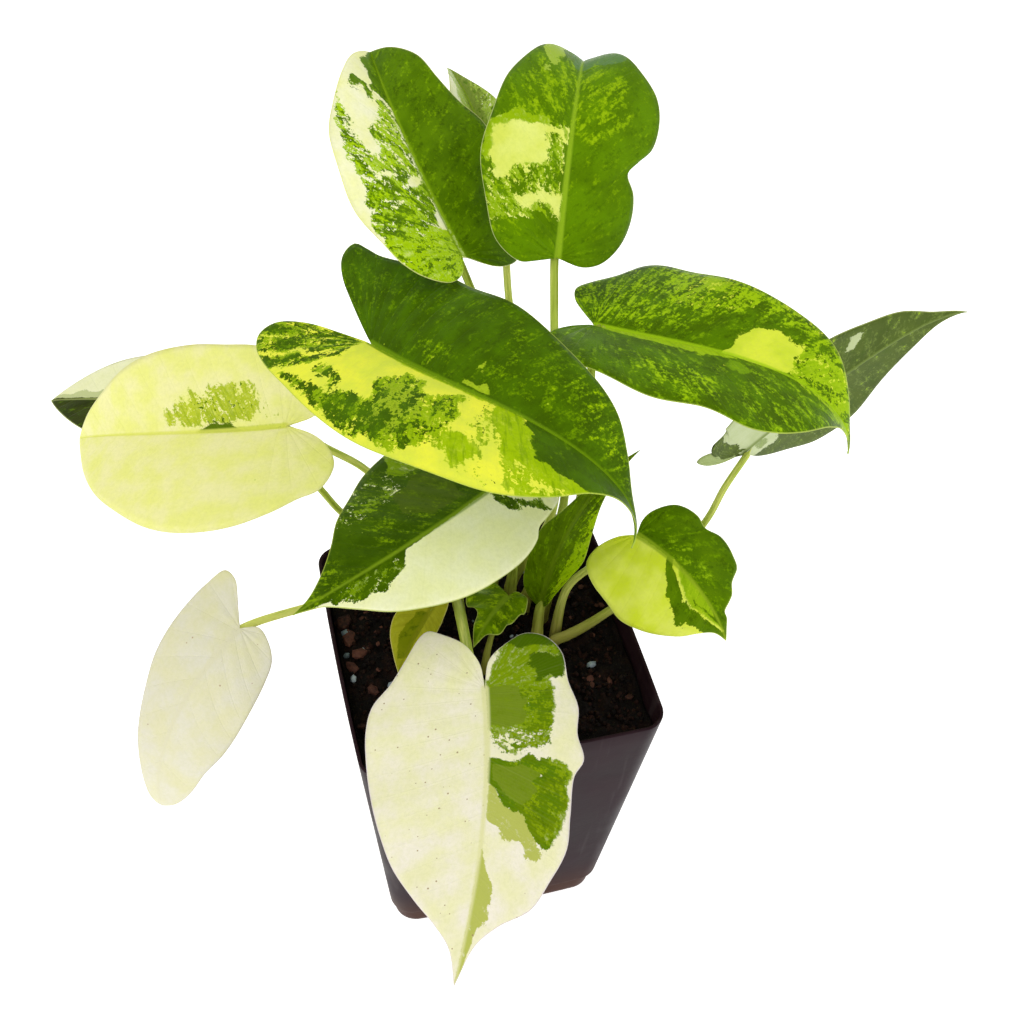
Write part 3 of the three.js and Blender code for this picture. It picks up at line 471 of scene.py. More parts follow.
            ("sage_and_sheen", [(1, 0.3), (-1.5, 3), (-1, 8), (1, 11), (2, 15), (6, 13.5), (9, 16), (11, 11),
                      (12.5, 7), (12, 3), (13, 0.3)]),
            ("dark", [(-16, 10), (-15.5, 14), (-16.5, 18), (-15, 22), (-13, 26), (-17, 28), (-24, 20),
                      (-24, 10), (-19, 6)]),
            ("dark", [(-4, 17), (-6, 20), (-4.5, 22), (-7, 25.5), (-11, 28), (-13, 26), (-11.5, 22),
                      (-13.5, 19), (-12.5, 15), (-10.5, 16.5), (-9, 13.5), (-7, 16)]),
            ("lime", [(22, 19), (22.5, 24.5), (26, 24), (32, 23), (42, 21.5), (46, 20), (44, 18)]),
            ("green", [(23, 0.3), (22, 8), (21, 14), (21, 18), (25, 20), (24, 23), (30, 22.5), (37, 21),
                       (45, 20.5), (48, 18), (46, 16), (43, 14), (40, 10), (37, 6), (33, 2.5), (30, 0.3)]),
            ("sage_and_sheen", [(23.5, 0.3), (22.8, 8), (22.5, 13), (25, 17), (29, 15), (32, 17.5), (35, 14), (37, 9),
                      (34, 5), (31, 0.3)]),
            ("lime", [(30, 22.7), (32, 20), (38, 18.5), (43, 16.5), (47, 17), (45, 20.5), (37, 21.2)]),
            ("pale", [(52, 13.5), (50, 17), (46, 17), (43, 14.5), (40, 11), (37.5, 7.5), (34, 4), (30, 0.6),
                      (41.5, 0.6), (44.5, 4), (46, 8), (48, 11)]),
            ("pale", [(50, 0.4), (56, 2.5), (62, 5), (67, 5.6), (71, 3), (78, 1.5), (86, 0.5), (86, -0.2),
                      (70, -0.2), (56, -0.2)]),
        ],
        marbled=[(-0.9, 0.5, 4.5, [(13, 0.5), (13, 20), (19, 18), (21, 10), (21, 2), (18, 0.5)]),
                 (0.4, 2.5, 2.2,
                  [(-3, 9), (0, 13), (2, 10.5), (4, 14), (7, 11), (10, 13.5), (13, 9.5), (13, 16),
                   (-3, 16)])],
        mottled=[(0.6, [(-20, 4), (-20, 20), (14, 20), (14, 0)]),
                 (0.5, [(22, 8), (22, 24), (48, 20), (36, 8)])],
        flecked=[(0.28, [(-22, -0.5), (-22, -40), (90, -40), (90, -0.5)]),
                 (0.2, [(50, 0), (50, 30), (90, 30), (90, 0)])]),
    "lower_right": dict(
        patches=[
            ("green", [(-30, 0), (-30, 40), (80, 40), (80, -1), (46, -2.5), (40, -7.5), (35, -11.5),
                       (30, -12.5), (23, -10.5), (17, -7), (13, -2), (12, 0)]),
            ("cream", [(14, 1), (15.5, -1.4), (20, -3.4), (26, -5.6), (32, -5.4), (38, -3), (45, -0.5),
                       (45, 0.5), (31, -4), (20, -0.5)]),
            ("lime", [(17, 1.5), (18, -1), (21, -3.2), (26, -5), (32, -4.9), (38, -2.6), (44, 0), (36, 1),
                      (26, 1.6)]),
        ],
        mottled=[(0.7, [(8, 0), (8, 8), (30, 8), (30, 0)]), (0.25, LEFT_HALF)]),
    "far_right": dict(
        patches=[
            ("green", WHOLE),
            ("cream", [(0, 15), (12, 16), (17, 0), (27, -24), (27, -36), (6, -38), (-22, -36), (-32, -26),
                       (-24, -20), (-15, -16), (-8, -11), (-3, -5), (0, 0)]),
            ("green", [(2, -1), (1, -8), (-4, -15), (-10, -20), (-18, -24), (-28, -25), (-26, -19),
                       (-15, -14), (-8, -9), (-3, -3)]),
            ("sage_and_sheen", [(8, 2), (10, 12), (6, 13), (5, 4)]),
            ("pale", [(-1, -4), (-4, -6), (-9, -10.2), (-15, -14), (-21, -16), (-27, -14), (-27, -6),
                      (-12, 0), (0, 3)]),
        ],
        over=[("cream", [(45, -11), (48, -10), (53, -14), (50, -16)])],
        mottled=[(0.35, WHOLE)],
        flecked=[(0.06, WHOLE)]),
    "young": dict(
        patches=[("green", WHOLE)],
        marbled=[(-1.3, 2.5, 3.5, [(0, -2), (0, -30), (90, -30), (90, -1), (40, -4)])],
        mottled=[(0.15, LEFT_HALF), (0.6, RIGHT_HALF)]),
    "crinkled": dict(patches=[("green", WHOLE)], mottled=[(0.5, WHOLE)]),
    "olive": dict(patches=[("lime", WHOLE),
                           ("green", [(3, -0.5), (5, -4), (14, -5), (22, -2), (20, 1), (6, 1)])]),
}

# Colours of each leaf as read off the photograph: red, green and blue from 0 to 255
BASE_COLOURS = dict(
    ground=(236, 234, 160), ground_tint=(226, 232, 110), lime=(150, 184, 6), light=(108, 146, 0),
    green=(73, 108, 0), green_tint=(88, 124, 2), dark=(54, 80, 0), pale=(184, 190, 100), sage_and_sheen=(128, 148, 60),
    fleck=(170, 196, 40), rib=(140, 172, 30), margin=(214, 222, 150))
LEAF_COLOURS = {
    "centre": dict(ground=(238, 240, 66), ground_tint=(214, 226, 70), lime=(158, 190, 4), green=(60, 90, 0),
                   green_tint=(72, 108, 0), sage_and_sheen=(160, 186, 34), rib=(112, 148, 12), margin=(186, 206, 80)),
    "right": dict(ground=(221, 233, 65), ground_tint=(196, 216, 50), lime=(158, 194, 12),
                  light=(124, 164, 4), green=(70, 100, 0), green_tint=(84, 122, 0), sage_and_sheen=(112, 152, 2),
                  rib=(160, 198, 24), margin=(190, 208, 90)),
    "back_left": dict(ground=(247, 247, 208), ground_tint=(243, 245, 172), lime=(170, 206, 4),
                      green=(77, 111, 0), green_tint=(92, 128, 2), light=(132, 172, 4), rib=(132, 166, 20),
                      margin=(240, 243, 160)),
    # back_right's sage is a painted bluish sheen, the reflection on its curled tip.
    "back_right": dict(ground=(216, 226, 94), ground_tint=(228, 236, 128), lime=(146, 180, 10),
                       green=(82, 118, 0), green_tint=(94, 134, 1), pale=(158, 186, 58), sage_and_sheen=(92, 130, 66),
                       dark=(66, 100, 0), rib=(148, 182, 34), light=(128, 166, 2)),
    "back_middle": dict(ground=(232, 236, 200), ground_tint=(226, 230, 180), lime=(165, 190, 70),
                        sage_and_sheen=(120, 140, 50)),
    "left": dict(ground=(242, 238, 172), ground_tint=(236, 237, 136), lime=(184, 198, 46),
                 light=(138, 164, 20), dark=(86, 112, 10), rib=(222, 226, 100), margin=(238, 238, 170)),
    "far_left": dict(ground=(238, 240, 186), ground_tint=(246, 246, 206), green=(36, 46, 0),
                     green_tint=(52, 62, 2), pale=(196, 204, 146), rib=(160, 170, 100)),
    # inner_left's sage is a painted grey sheen, a reflection on its upper face.
    "inner_left": dict(ground=(250, 250, 212), ground_tint=(246, 247, 190), lime=(132, 164, 10),
                       green=(56, 84, 0), green_tint=(70, 100, 2), sage_and_sheen=(84, 106, 22), light=(92, 122, 4),
                       rib=(128, 156, 30), fleck=(160, 180, 70), margin=(180, 196, 80)),
    "lower_left": dict(ground=(222, 218, 200), ground_tint=(221, 217, 180), rib=(217, 213, 182),
                       margin=(224, 216, 210), fleck=(176, 150, 120)),
    "front": dict(ground=(244, 237, 220), ground_tint=(238, 235, 190), lime=(118, 146, 0),
                  green=(104, 130, 2), green_tint=(90, 124, 4), dark=(75, 104, 2), sage_and_sheen=(117, 139, 32),
                  pale=(182, 188, 92), light=(140, 164, 10), rib=(224, 222, 164), margin=(232, 220, 224),
                  fleck=(160, 136, 96)),
    "lower_right": dict(ground=(220, 230, 92), ground_tint=(204, 220, 44), lime=(146, 180, 18),
                        green=(76, 110, 0), green_tint=(88, 122, 0), rib=(140, 166, 30),
                        margin=(210, 222, 120)),
    "far_right": dict(ground=(198, 207, 164), ground_tint=(186, 197, 148), green=(54, 72, 10),
                      green_tint=(70, 88, 20), light=(98, 116, 48), pale=(160, 176, 112),
                      sage_and_sheen=(140, 156, 96), fleck=(190, 196, 150), rib=(120, 138, 70),
                      margin=(170, 180, 110)),
    "young": dict(ground=(166, 194, 20), ground_tint=(150, 184, 8), lime=(150, 184, 4), green=(70, 96, 0),
                  green_tint=(84, 112, 2), rib=(96, 122, 14), margin=(170, 190, 70)),
    "crinkled": dict(green=(100, 132, 2), green_tint=(74, 102, 0), light=(130, 158, 14), rib=(120, 146, 30),
                     margin=(186, 198, 100)),
    "olive": dict(lime=(158, 158, 34), light=(136, 138, 24), green=(120, 128, 12), green_tint=(112, 122, 8),
                  ground_tint=(180, 180, 60), rib=(130, 134, 24), margin=(200, 190, 120)),
}
UNDERSIDE = (128, 142, 84)
STALK_PAINTS = dict(cream=(218, 222, 120), green=(165, 182, 70), olive=(104, 118, 16), spots=(190, 206, 90),
                    foot=(118, 100, 50))
POT_PAINTS = dict(dark=(31, 18, 22), light=(44, 29, 34), scuffs=(86, 78, 80), foot=(68, 35, 17))
SOIL_PAINTS = dict(wet=(9, 5, 4), dry=(26, 12, 7), fibres=(50, 23, 12))

# How the patches are laid: the markings that have a field of their own, the greatest distance in it, and
# how far a marking reaches over its neighbour. The waves of their edges are given as for the soil, and they
# grow between two distances from the midrib. The last three are the soft edges of the zones.
FIELDS = ("green", "lime", "pale", "sage_and_sheen", "dark")
FIELD_REACH = 12
PATCH_OVERLAP = 1.4
PATCH_WAVES = (5, 14, 0.014)
STRAIGHT_AT_RIB = (0.5, 4)
MARBLE_EDGE = (-1, 2)
OVER_EDGE = (-0.3, 1.5)
ZONE_EDGE = (-3, 4)
# How far each leaf's pattern is set apart from the last one's
LEAF_OFFSET = 200

# Over the markings: how strongly each thing shows, from 0 to 1
MARGIN_SHOWS = 0.75
RIB_SHOWS = 0.8
SIDE_VEIN_SHOWS = 0.02
FINE_VEIN_SHOWS = 0.015
UNDERSIDE_SHOWS = 0.15
FLECK_SHOWS = 0.85
FINE_VEIN_SPACING = 1.25
# Flecks: cells to a centimetre, and in cells their smallest radius, how much it grows and their soft edge
FLECK_SCALE = 4.5
FLECK_RADIUS = 0.03
FLECK_GROWTH = 0.1
FLECK_EDGE = 0.03
FLECK_CHANCE = 0.4

# Relief in millimetres. The underside has it times 1 less the last number, so turned over and weaker.
SIDE_VEIN_RELIEF = 0.05
FINE_VEIN_RELIEF = 0.004
LEAF_GRAIN_RELIEF = 0.12
UNDERSIDE_TURNS = 1.6

# Sheen, and how far light goes into leaves and stalks
LEAF_ROUGHNESS = 0.3
LEAF_ROUGHNESS_VARIES = 0.16
UNDERSIDE_DULLER = 0.2
LEAF_SHEEN = (0.9, 1.0, 0.3)
LEAF_SPECULAR = 0.07
LEAF_SUBSURFACE = 0.05
STALK_SPECULAR = 0.12
STALK_SUBSURFACE = 0.08
POT_SHEEN = (1.0, 0.72, 0.86)
POT_SPECULAR = 0.055
SOIL_SPECULAR = 0.12
GRAIN_SPECULAR = 0.15
LIGHT_REACH = 1.2
LIGHT_REACH_COLOUR = (1.0, 1.0, 0.4)

# Stalks turn brown below this height over the soil, in millimetres, and the pot between these heights, in
# metres. Its scuffs are drawn out upwards.
STALK_BROWN_UP_TO = 22.0
POT_BROWN_FADES = (0.01, 0.04)
POT_SCUFF_SCALE = (260.0, 260.0, 12.0)

COLOUR_SOCKET = "NodeSocketColor"
VALUE_SOCKET = "NodeSocketFloat"


def paint(colour):
    """A colour given as red, green and blue from 0 to 255, as the linear values that shaders take."""
    share = np.asarray(colour, float) / 255
    linear = np.where(share <= 0.04045, share / 12.92, ((share + 0.055) / 1.055) ** 2.4)
    return (*(float(value) for value in linear), 1.0)


def paints_of(colours):
    """The same for a set of named colours."""
    return {name: paint(colour) for name, colour in colours.items()}


def smooth_step(value, low, high):
    """0 below low, 1 above high, and 3x squared less 2x cubed between them."""
    x = np.clip((value - low) / (high - low), 0, 1)
    return x * x * (3 - 2 * x)


def blend_between(low, high, share):
    """low at share 0, high at share 1, and straight between them."""
    return low + (high - low) * share


def unit(vectors):
    """Each vector divided by its length."""
    return vectors / np.maximum(np.linalg.norm(vectors, axis=-1, keepdims=True), TINY)


def curve_through(points, steps):
    """A smooth line through points. Between two of them it is the cubic whose slope at each is taken from
    its neighbours, spaced by the square roots of their distances, and it is sampled in equal steps."""
    p = np.asarray(points, float)
    p = np.vstack([2 * p[0] - p[1], p, 2 * p[-1] - p[-2]])
    gap = np.linalg.norm(np.diff(p, axis=0), axis=1)[:, None] ** 0.5
    a, b, c, d = p[:-3], p[1:-2], p[2:-1], p[3:]
    g0, g1, g2 = gap[:-2], gap[1:-1], gap[2:]
    slope_b = g1 * ((b - a) / g0 - (c - a) / (g0 + g1) + (c - b) / g1)
    slope_c = g1 * ((c - b) / g1 - (d - b) / (g1 + g2) + (d - c) / g2)
    x = np.arange(steps)[None, :, None] / steps
    line = ((2 * x**3 - 3 * x**2 + 1) * b[:, None] + (x**3 - 2 * x**2 + x) * slope_b[:, None]
            + (3 * x**2 - 2 * x**3) * c[:, None] + (x**3 - x**2) * slope_c[:, None])
    return np.vstack([line.reshape(-1, p.shape[1]), p[-2]])


def run_along(line):
    """The length of a line from its start to each of its points."""
    return np.concatenate([[0], np.cumsum(np.linalg.norm(np.diff(line, axis=0), axis=1))])


def evenly_along(line, count):
    """count + 1 points at equal lengths along a line, and the line's length."""
    run = run_along(line)
    at = np.linspace(0, run[-1], count + 1)
    return np.stack([np.interp(at, run, line[:, k]) for k in range(line.shape[1])], axis=1), run[-1]


def signed_distance(points, corners):
    """Distance from points to a closed outline, positive inside: the least distance to one of its sides,
    with its sign from whether a ray along the first axis crosses an odd number of sides."""
    a = np.asarray(corners, float)
    b = np.roll(a, -1, axis=0)
    side = b - a
    away = points[:, None, :] - a
    share = np.clip((away * side).sum(-1) / (side**2).sum(-1), 0, 1)
    distance = np.linalg.norm(away - share[..., None] * side, axis=-1).min(1)
    x, y = points[:, :1], points[:, 1:]
    rise = np.where(np.abs(side[:, 1]) < TINY, TINY, side[:, 1])
    crossed = ((a[:, 1] > y) != (b[:, 1] > y)) & (x < a[:, 0] + side[:, 0] * (y - a[:, 1]) / rise)
    return np.where(crossed.sum(1) % 2 == 1, distance, -distance)


def mesh_object(name, points, faces, uv_maps=(), attributes=(), merge=MERGE_WITHIN, smooth=True):
    """A mesh from points in millimetres and faces that all have the same number of corners. uv_maps hold a
    pair of numbers for each point and attributes one number each. Points closer than merge become one, so
    that seams and poles are closed, and the faces are then turned outwards."""
    mesh = bpy.data.meshes.new(name)
    faces = np.asarray(faces, np.int32)
    mesh.vertices.add(len(points))
    mesh.vertices.foreach_set("co", (np.asarray(points) * MM).astype(np.float32).ravel())
    mesh.loops.add(faces.size)
    mesh.loops.foreach_set("vertex_index", faces.ravel())
    mesh.polygons.add(len(faces))
    mesh.polygons.foreach_set("loop_start", np.arange(0, faces.size, faces.shape[1], dtype=np.int32))
    mesh.update(calc_edges=True)
    for label, values in uv_maps:
        layer = mesh.uv_layers.new(name=label)
        layer.data.foreach_set("uv", np.asarray(values, np.float32)[faces.ravel()].ravel())
    for label, values in attributes:
        layer = mesh.attributes.new(label, "FLOAT", "POINT")
        layer.data.foreach_set("value", np.asarray(values, np.float32))
    if merge:
        shell = bmesh.new()
        shell.from_mesh(mesh)
        bmesh.ops.remove_doubles(shell, verts=shell.verts, dist=merge * MM)
        bmesh.ops.recalc_face_normals(shell, faces=shell.faces)
        shell.to_mesh(mesh)
        shell.free()
    mesh.polygons.foreach_set("use_smooth", np.full(len(mesh.polygons), smooth))
    mesh.update()
    obj = bpy.data.objects.new(name, mesh)
    bpy.context.scene.collection.objects.link(obj)
    return obj


def grid_faces(columns, rows, start, flip):
    """The four-cornered faces of a grid of columns by rows of points, numbered along each column."""
    corner = start + np.arange(columns - 1)[:, None] * rows + np.arange(rows - 1)
    faces = np.stack([corner, corner + rows, corner + rows + 1, corner + 1], axis=-1).reshape(-1, 4)
    return faces[:, ::-1] if flip else faces


def ring_faces(rings, sides):
    """The faces of a closed tube of rings that each have the same number of points."""
    i, k = np.meshgrid(np.arange(rings - 1), np.arange(sides), indexing="ij")
    a = i * sides + k
    b = i * sides + (k + 1) % sides
    return np.stack([a, b, b + sides, a + sides], axis=-1).reshape(-1, 4)


def finish_piece(obj, material, slot, *nodes):
    """Gives a piece its material and the part's body, and hides the frame's nodes that it stands for."""
    obj.data.materials.append(material)
    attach(obj, "root")
    if nodes:
        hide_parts(*nodes)


# Blades

def blade_frame(leaf, s):
    """Directions along the midrib, across the blade and out of it, at distances s from the junction. The
    pitch falls by the droop times the share of the length to the power of the curl, and behind the junction
    it rises with the lobe. The heading and the roll change evenly from the junction to the tip."""
    x = s / leaf["length"]
    ahead = np.clip(x, 0, 1)
    bend = np.where(x > 0, leaf["droop"] * np.maximum(x, 0) ** leaf["curl"], -leaf["lobe"] * x)
    pitch = np.radians(leaf["pitch"] - bend)
    heading = np.radians(leaf["heading"] + leaf["sway"] * ahead)
    roll = np.radians(leaf["roll"] + leaf["twist"] * ahead)[..., None]
    along = np.stack(
        [np.cos(pitch) * np.cos(heading), np.cos(pitch) * np.sin(heading), np.sin(pitch)], axis=-1)
    level = np.stack([-np.sin(heading), np.cos(heading), np.zeros_like(heading)], axis=-1)
    upright = np.cross(along, level)
    across = level * np.cos(roll) + upright * np.sin(roll)
    normal = upright * np.cos(roll) - level * np.sin(roll)
    return along, across, normal


def midrib_point(leaf, s):
    """The junction plus the direction along the midrib summed in equal steps up to distance s."""
    shares = (np.arange(MIDRIB_STEPS) + 0.5) / MIDRIB_STEPS
    along = blade_frame(leaf, s[..., None] * shares)[0]
    return np.asarray(leaf["base"], float) + along.mean(axis=-2) * s[..., None]


def rib_half_width(leaf, s):
    """Half the width of the midrib, which narrows to the tip with a power of the share of the length."""
    return blend_between(RIB_FOOT, RIB_TIP, np.clip(s / leaf["length"], 0, 1) ** RIB_TAPER)


def blade_sheets(leaf, s, w, lift, thin):
    """The upper and the lower face of a blade at distances s along the midrib and w across it. The middle
    surface runs out from the midrib on an arc that starts at the fold and bends back by the cup, raised by
    lift. The fold grows by tip_fold with a power of the share of the length. The faces lie half the
    thickness to each side of the middle surface. The upper one sinks along the midrib by a smooth groove and
    the lower one swells there to a keel."""
    along, across, normal = blade_frame(leaf, s)
    extra_fold = leaf.get("tip_fold", 0) * np.clip(s / leaf["length"], 0, 1) ** TIP_FOLD_POWER
    fold = np.radians(leaf["fold"] + extra_fold)
    bend = math.radians(leaf["cup"]) / (CUP_REACH * leaf["length"])
    reach = np.abs(w)
    out = (np.sin(fold) - np.sin(fold - bend * reach)) / bend
    up = (np.cos(fold - bend * reach) - np.cos(fold)) / bend
    middle = midrib_point(leaf, s) + across * (np.sign(w) * out)[..., None] + normal * (up + lift)[..., None]
    tilt = (fold - bend * reach) * smooth_step(reach, 0, TILT_STARTS_OVER) * np.sign(w)
    face = normal * np.cos(tilt)[..., None] - across * np.sin(tilt)[..., None]
    from_rib = np.hypot(np.minimum(s, 0), w)
    width = rib_half_width(leaf, s)
    swell = np.exp(-((from_rib / width) ** 2)) * width / RIB_FOOT
    upper = middle + face * (thin - RIB_GROOVE * swell)[..., None]
    lower = middle - face * (thin + RIB_KEEL * swell)[..., None]
    return upper, lower


def margin_lift(leaf, t, r, margin_length):
    """How far the margin's waves raise the blade, growing with the square of the way out from the midrib,
    less the furrows, a cosine along the margin that fades out at the midrib and near the junction."""
    height, waves = leaf["wave"]
    lift = height * r * r * np.sin(2 * np.pi * waves * t) * np.sin(np.pi * t)
    furrow = np.cos(2 * np.pi * t * margin_length / FURROW_SPACING)
    out = np.sin(np.pi * np.clip(r * FURROW_ENDS, 0, 1))
    return lift - FURROW_DEPTH * furrow * out * smooth_step(t, 0, FURROW_STARTS)


def half_blade(leaf, outline, sign):
    """The grid of one half of a blade, from the junction (column 0) to the tip and from the midrib (row 0)
    to the margin. Side veins fan out from the junction over the first share of the margin, and then leave
    the midrib one by one. Returns the arrays that the mesh and its markings are made from."""
    ends = [(0, 0), *outline, (leaf["length"], 0)]
    margin, margin_length = evenly_along(curve_through(ends, MARGIN_STEPS), BLADE_COLUMNS)
    t = np.linspace(0, 1, BLADE_COLUMNS + 1)[:, None]
    r = (np.linspace(0, 1, BLADE_ROWS + 1) ** ROW_CROWDING)[None, :]
    root = leaf["length"] * np.clip((t - FAN_SHARE) / (1 - FAN_SHARE), 0, 1) ** VEIN_LEAN
    s = root + r * (margin[:, :1] - root)
    w = r * margin[:, 1:]
    vein_length = np.hypot(margin[:, :1] - root, margin[:, 1:])
    to_margin = (1 - r) * vein_length
    thin = blend_between(MARGIN_HALF_THICKNESS, HALF_THICKNESS, smooth_step(to_margin, 0, MARGIN_THINS_OVER))
    thin[[0, -1], :] = blend_between(MARGIN_HALF_THICKNESS, HALF_THICKNESS, 1 - r)
    upper, lower = blade_sheets(leaf, s, w, margin_lift(leaf, t, r, margin_length), thin)
    veins = np.stack([np.broadcast_to(sign * t * margin_length, s.shape), r * vein_length], axis=-1)
    return dict(s=s, w=w, edge=to_margin, upper=upper, lower=lower, veins=veins)


def plane_waves(x, y, random, shortest, longest, steepness):
    """Unevenness: plane waves of random direction and length, each as high as a share of its length."""
    angle = random.uniform(0, 2 * np.pi, WAVE_COUNT)
    length = random.uniform(shortest, longest, WAVE_COUNT)
    phase = random.uniform(0, 2 * np.pi, WAVE_COUNT)
    turn = 2 * np.pi / length
    waves = np.sin(x[..., None] * np.cos(angle) * turn + y[..., None] * np.sin(angle) * turn + phase)
    return (waves * length * steepness).sum(-1)


def waved(flat):
    """Places on the blade moved aside by plane waves, which makes the edges of the patches wavy. They stay
    where they are at the midrib."""
    random = np.random.default_rng(SEED)
    aside = np.stack([plane_waves(flat[:, 0], flat[:, 1], random, *PATCH_WAVES) for _ in range(2)], axis=-1)
    return flat + aside * smooth_step(np.abs(flat[:, 1:]), *STRAIGHT_AT_RIB)


def lay_patches(fields, patches, flat):
    """A patch raises its own marking to the distance inside it and pushes the others down to the opposite of
    that distance, plus a small overlap. Cream is no marking: it bares the ground, without overlap."""
    for kind, corners in patches:
        inside = signed_distance(flat, corners)
        overlap = 0 if kind == "cream" else PATCH_OVERLAP
        for name in FIELDS:
            if name == kind:
                fields[name] = np.maximum(fields[name], inside)
            else:
                fields[name] = np.minimum(fields[name], overlap - inside)


def lay_marbling(fields, zones, flat):
    """A marbled zone draws green and lime towards the values it names. Returns how coarse it is there."""
    marble = np.zeros(len(flat))
    for green, lime, coarse, corners in zones:
        share = smooth_step(signed_distance(flat, corners), *MARBLE_EDGE)
        fields["green"] = blend_between(np.clip(fields["green"], -coarse, coarse), green, share)
        fields["lime"] = blend_between(np.clip(fields["lime"], -coarse, coarse), lime, share)
        fields["dark"] = fields["dark"] - 2 * coarse * share
        marble = np.maximum(marble, coarse * share)
    return marble


def zone_amount(zones, flat):
    """The greatest amount of the zones that a point lies in, fading out over their edges."""
    found = np.zeros(len(flat))
    for amount, corners in zones:
        found = np.maximum(found, amount * smooth_step(signed_distance(flat, corners), *ZONE_EDGE))
    return found


def marking_fields(leaf, flat):
    """For each marking, how far a point lies inside it in millimetres, and how marbled, mottled and flecked
    the blade is there."""
    plan = MARKINGS[leaf["name"]]
    flat = waved(flat)
    fields = {name: np.full(len(flat), -float(FIELD_REACH)) for name in FIELDS}
    lay_patches(fields, plan["patches"], flat)
    marble = lay_marbling(fields, plan.get("marbled", ()), flat)
    over = plan.get("over", ())
    lay_patches(fields, over, flat)
    for _, corners in over:
        marble *= 1 - smooth_step(signed_distance(flat, corners), *OVER_EDGE)
    found = {name: np.clip(values, -FIELD_REACH, FIELD_REACH) for name, values in fields.items()}
    found["marble"] = marble
    found["mottle"] = zone_amount(plan.get("mottled", ()), flat)
    found["fleck"] = zone_amount(plan.get("flecked", ()), flat)
    return found


def make_blade(leaf, number, material):
    """A blade as one closed thin shell: two halves of two faces each, which share the midrib, and a strip
    round the margin."""
    points, faces, flats, veins, edges, unders = [], [], [], [], [], []
    rows = BLADE_ROWS + 1
    columns = BLADE_COLUMNS + 1
    count = rows * columns
    for outline, sign in ((leaf["left"], 1), (leaf["right"], -1)):
        half = half_blade(leaf, outline, sign)
        start = sum(len(p) for p in points)
        for side, under in (("upper", 0), ("lower", 1)):
            points.append(half[side].reshape(-1, 3))
            faces.append(grid_faces(columns, rows, start + under * count, flip=(sign > 0) == (under == 0)))
            flats.append(np.stack([half["s"], half["w"]], axis=-1).reshape(-1, 2))
            veins.append(half["veins"].reshape(-1, 2))
            edges.append(half["edge"].ravel())
            unders.append(np.full(count, under))
        rim = start + np.arange(columns) * rows + BLADE_ROWS
        strip = np.stack([rim[:-1], rim[1:], rim[1:] + count, rim[:-1] + count], axis=-1)
        faces.append(strip if sign > 0 else strip[:, ::-1])
    flat = np.concatenate(flats)
    apart = (0, LEAF_OFFSET * number)
    uv_maps = [("flat", (flat + apart) * CM_PER_MM), ("veins", (np.concatenate(veins) + apart) * CM_PER_MM)]
    attributes = [
        *marking_fields(leaf, flat).items(),
        ("rib", rib_half_width(leaf, flat[:, 0]) - np.hypot(np.minimum(flat[:, 0], 0), flat[:, 1])),
        ("edge", np.concatenate(edges)),
        ("under", np.concatenate(unders)),
    ]
    blade = mesh_object("blade_" + leaf["name"], np.concatenate(points), np.concatenate(faces),
                        uv_maps, attributes)
    finish_piece(blade, material, leaf["slot"], "leaf_" + leaf["name"])


# Stalks

def stalk_route(leaf):
    """The points that a stalk passes: straight up out of the soil, on through its own points to just under
    the blade's junction, and then along the underside of the midrib, which it fades into."""
    foot = np.array([*leaf["foot"], 0.0])
    base = np.asarray(leaf["base"], float)
    s = np.array(STALK_JOINS_AT) * leaf.get("merge", 1)
    along, _, normal = blade_frame(leaf, s)
    top_radius = leaf["radii"][1]
    if leaf.get("end_on"):
        top = base - along[0] * STALK_CLEAR
    else:
        arrival = unit(base - np.asarray(leaf["via"][-1], float))
        slant = math.sqrt(max(0.0, 1 - float(arrival @ normal[0]) ** 2))
        droop = math.sin(math.radians(max(0, -leaf["fold"])))
        clear = STALK_CLEAR + top_radius * min(1, slant + droop)
        top = base - normal[0] * clear + along[0] * PETIOLE_REACH
    depth = np.array([0, STALK_UNDER_RIB + top_radius / 2, STALK_TIP_UNDER_RIB])
    under = midrib_point(leaf, s) - normal * depth[:, None]
    buried = foot + (0, 0, SOIL_LEVEL - PLANTED_DEPTH)
    out_of_soil = foot + (0, 0, SOIL_LEVEL + SOIL_BUMP + HOLE_RISE)
    return [buried, out_of_soil, *leaf["via"], top, under[1], under[2]]


def stalk_sections(leaf, line):
    """The directions across a stalk's tube at each point of its line: one level and square to the way the
    stalk leans, the other square to it and to the line."""
    tangent = unit(np.gradient(line, axis=0))
    lean = unit(np.array([*(np.asarray(leaf["base"][:2], float) - leaf["foot"]), SLIGHT_RISE]))
    sideways = np.cross([0, 0, 1], lean)
    side = unit(sideways - tangent * (tangent @ sideways)[:, None])
    return side[:, None], np.cross(tangent, side)[:, None]


def stalk_radius(leaf, share, beyond, above_soil):
    """The radius narrows evenly from the foot, swells to a sheath at the soil by a bell curve of the height,
    and shrinks to nothing along the midrib."""
    foot_radius, top_radius = leaf["radii"]
    radius = blend_between(foot_radius, top_radius, np.clip(share / TAPER_SHARE, 0, 1))
    radius = radius * (1 + STALK_SHEATH * np.exp(-((above_soil / SHEATH_REACH) ** 2)))
    radius = radius * (1 - smooth_step(beyond, *STALK_FADE)) ** STALK_FADE_POWER
    radius[0] = 0
    return radius


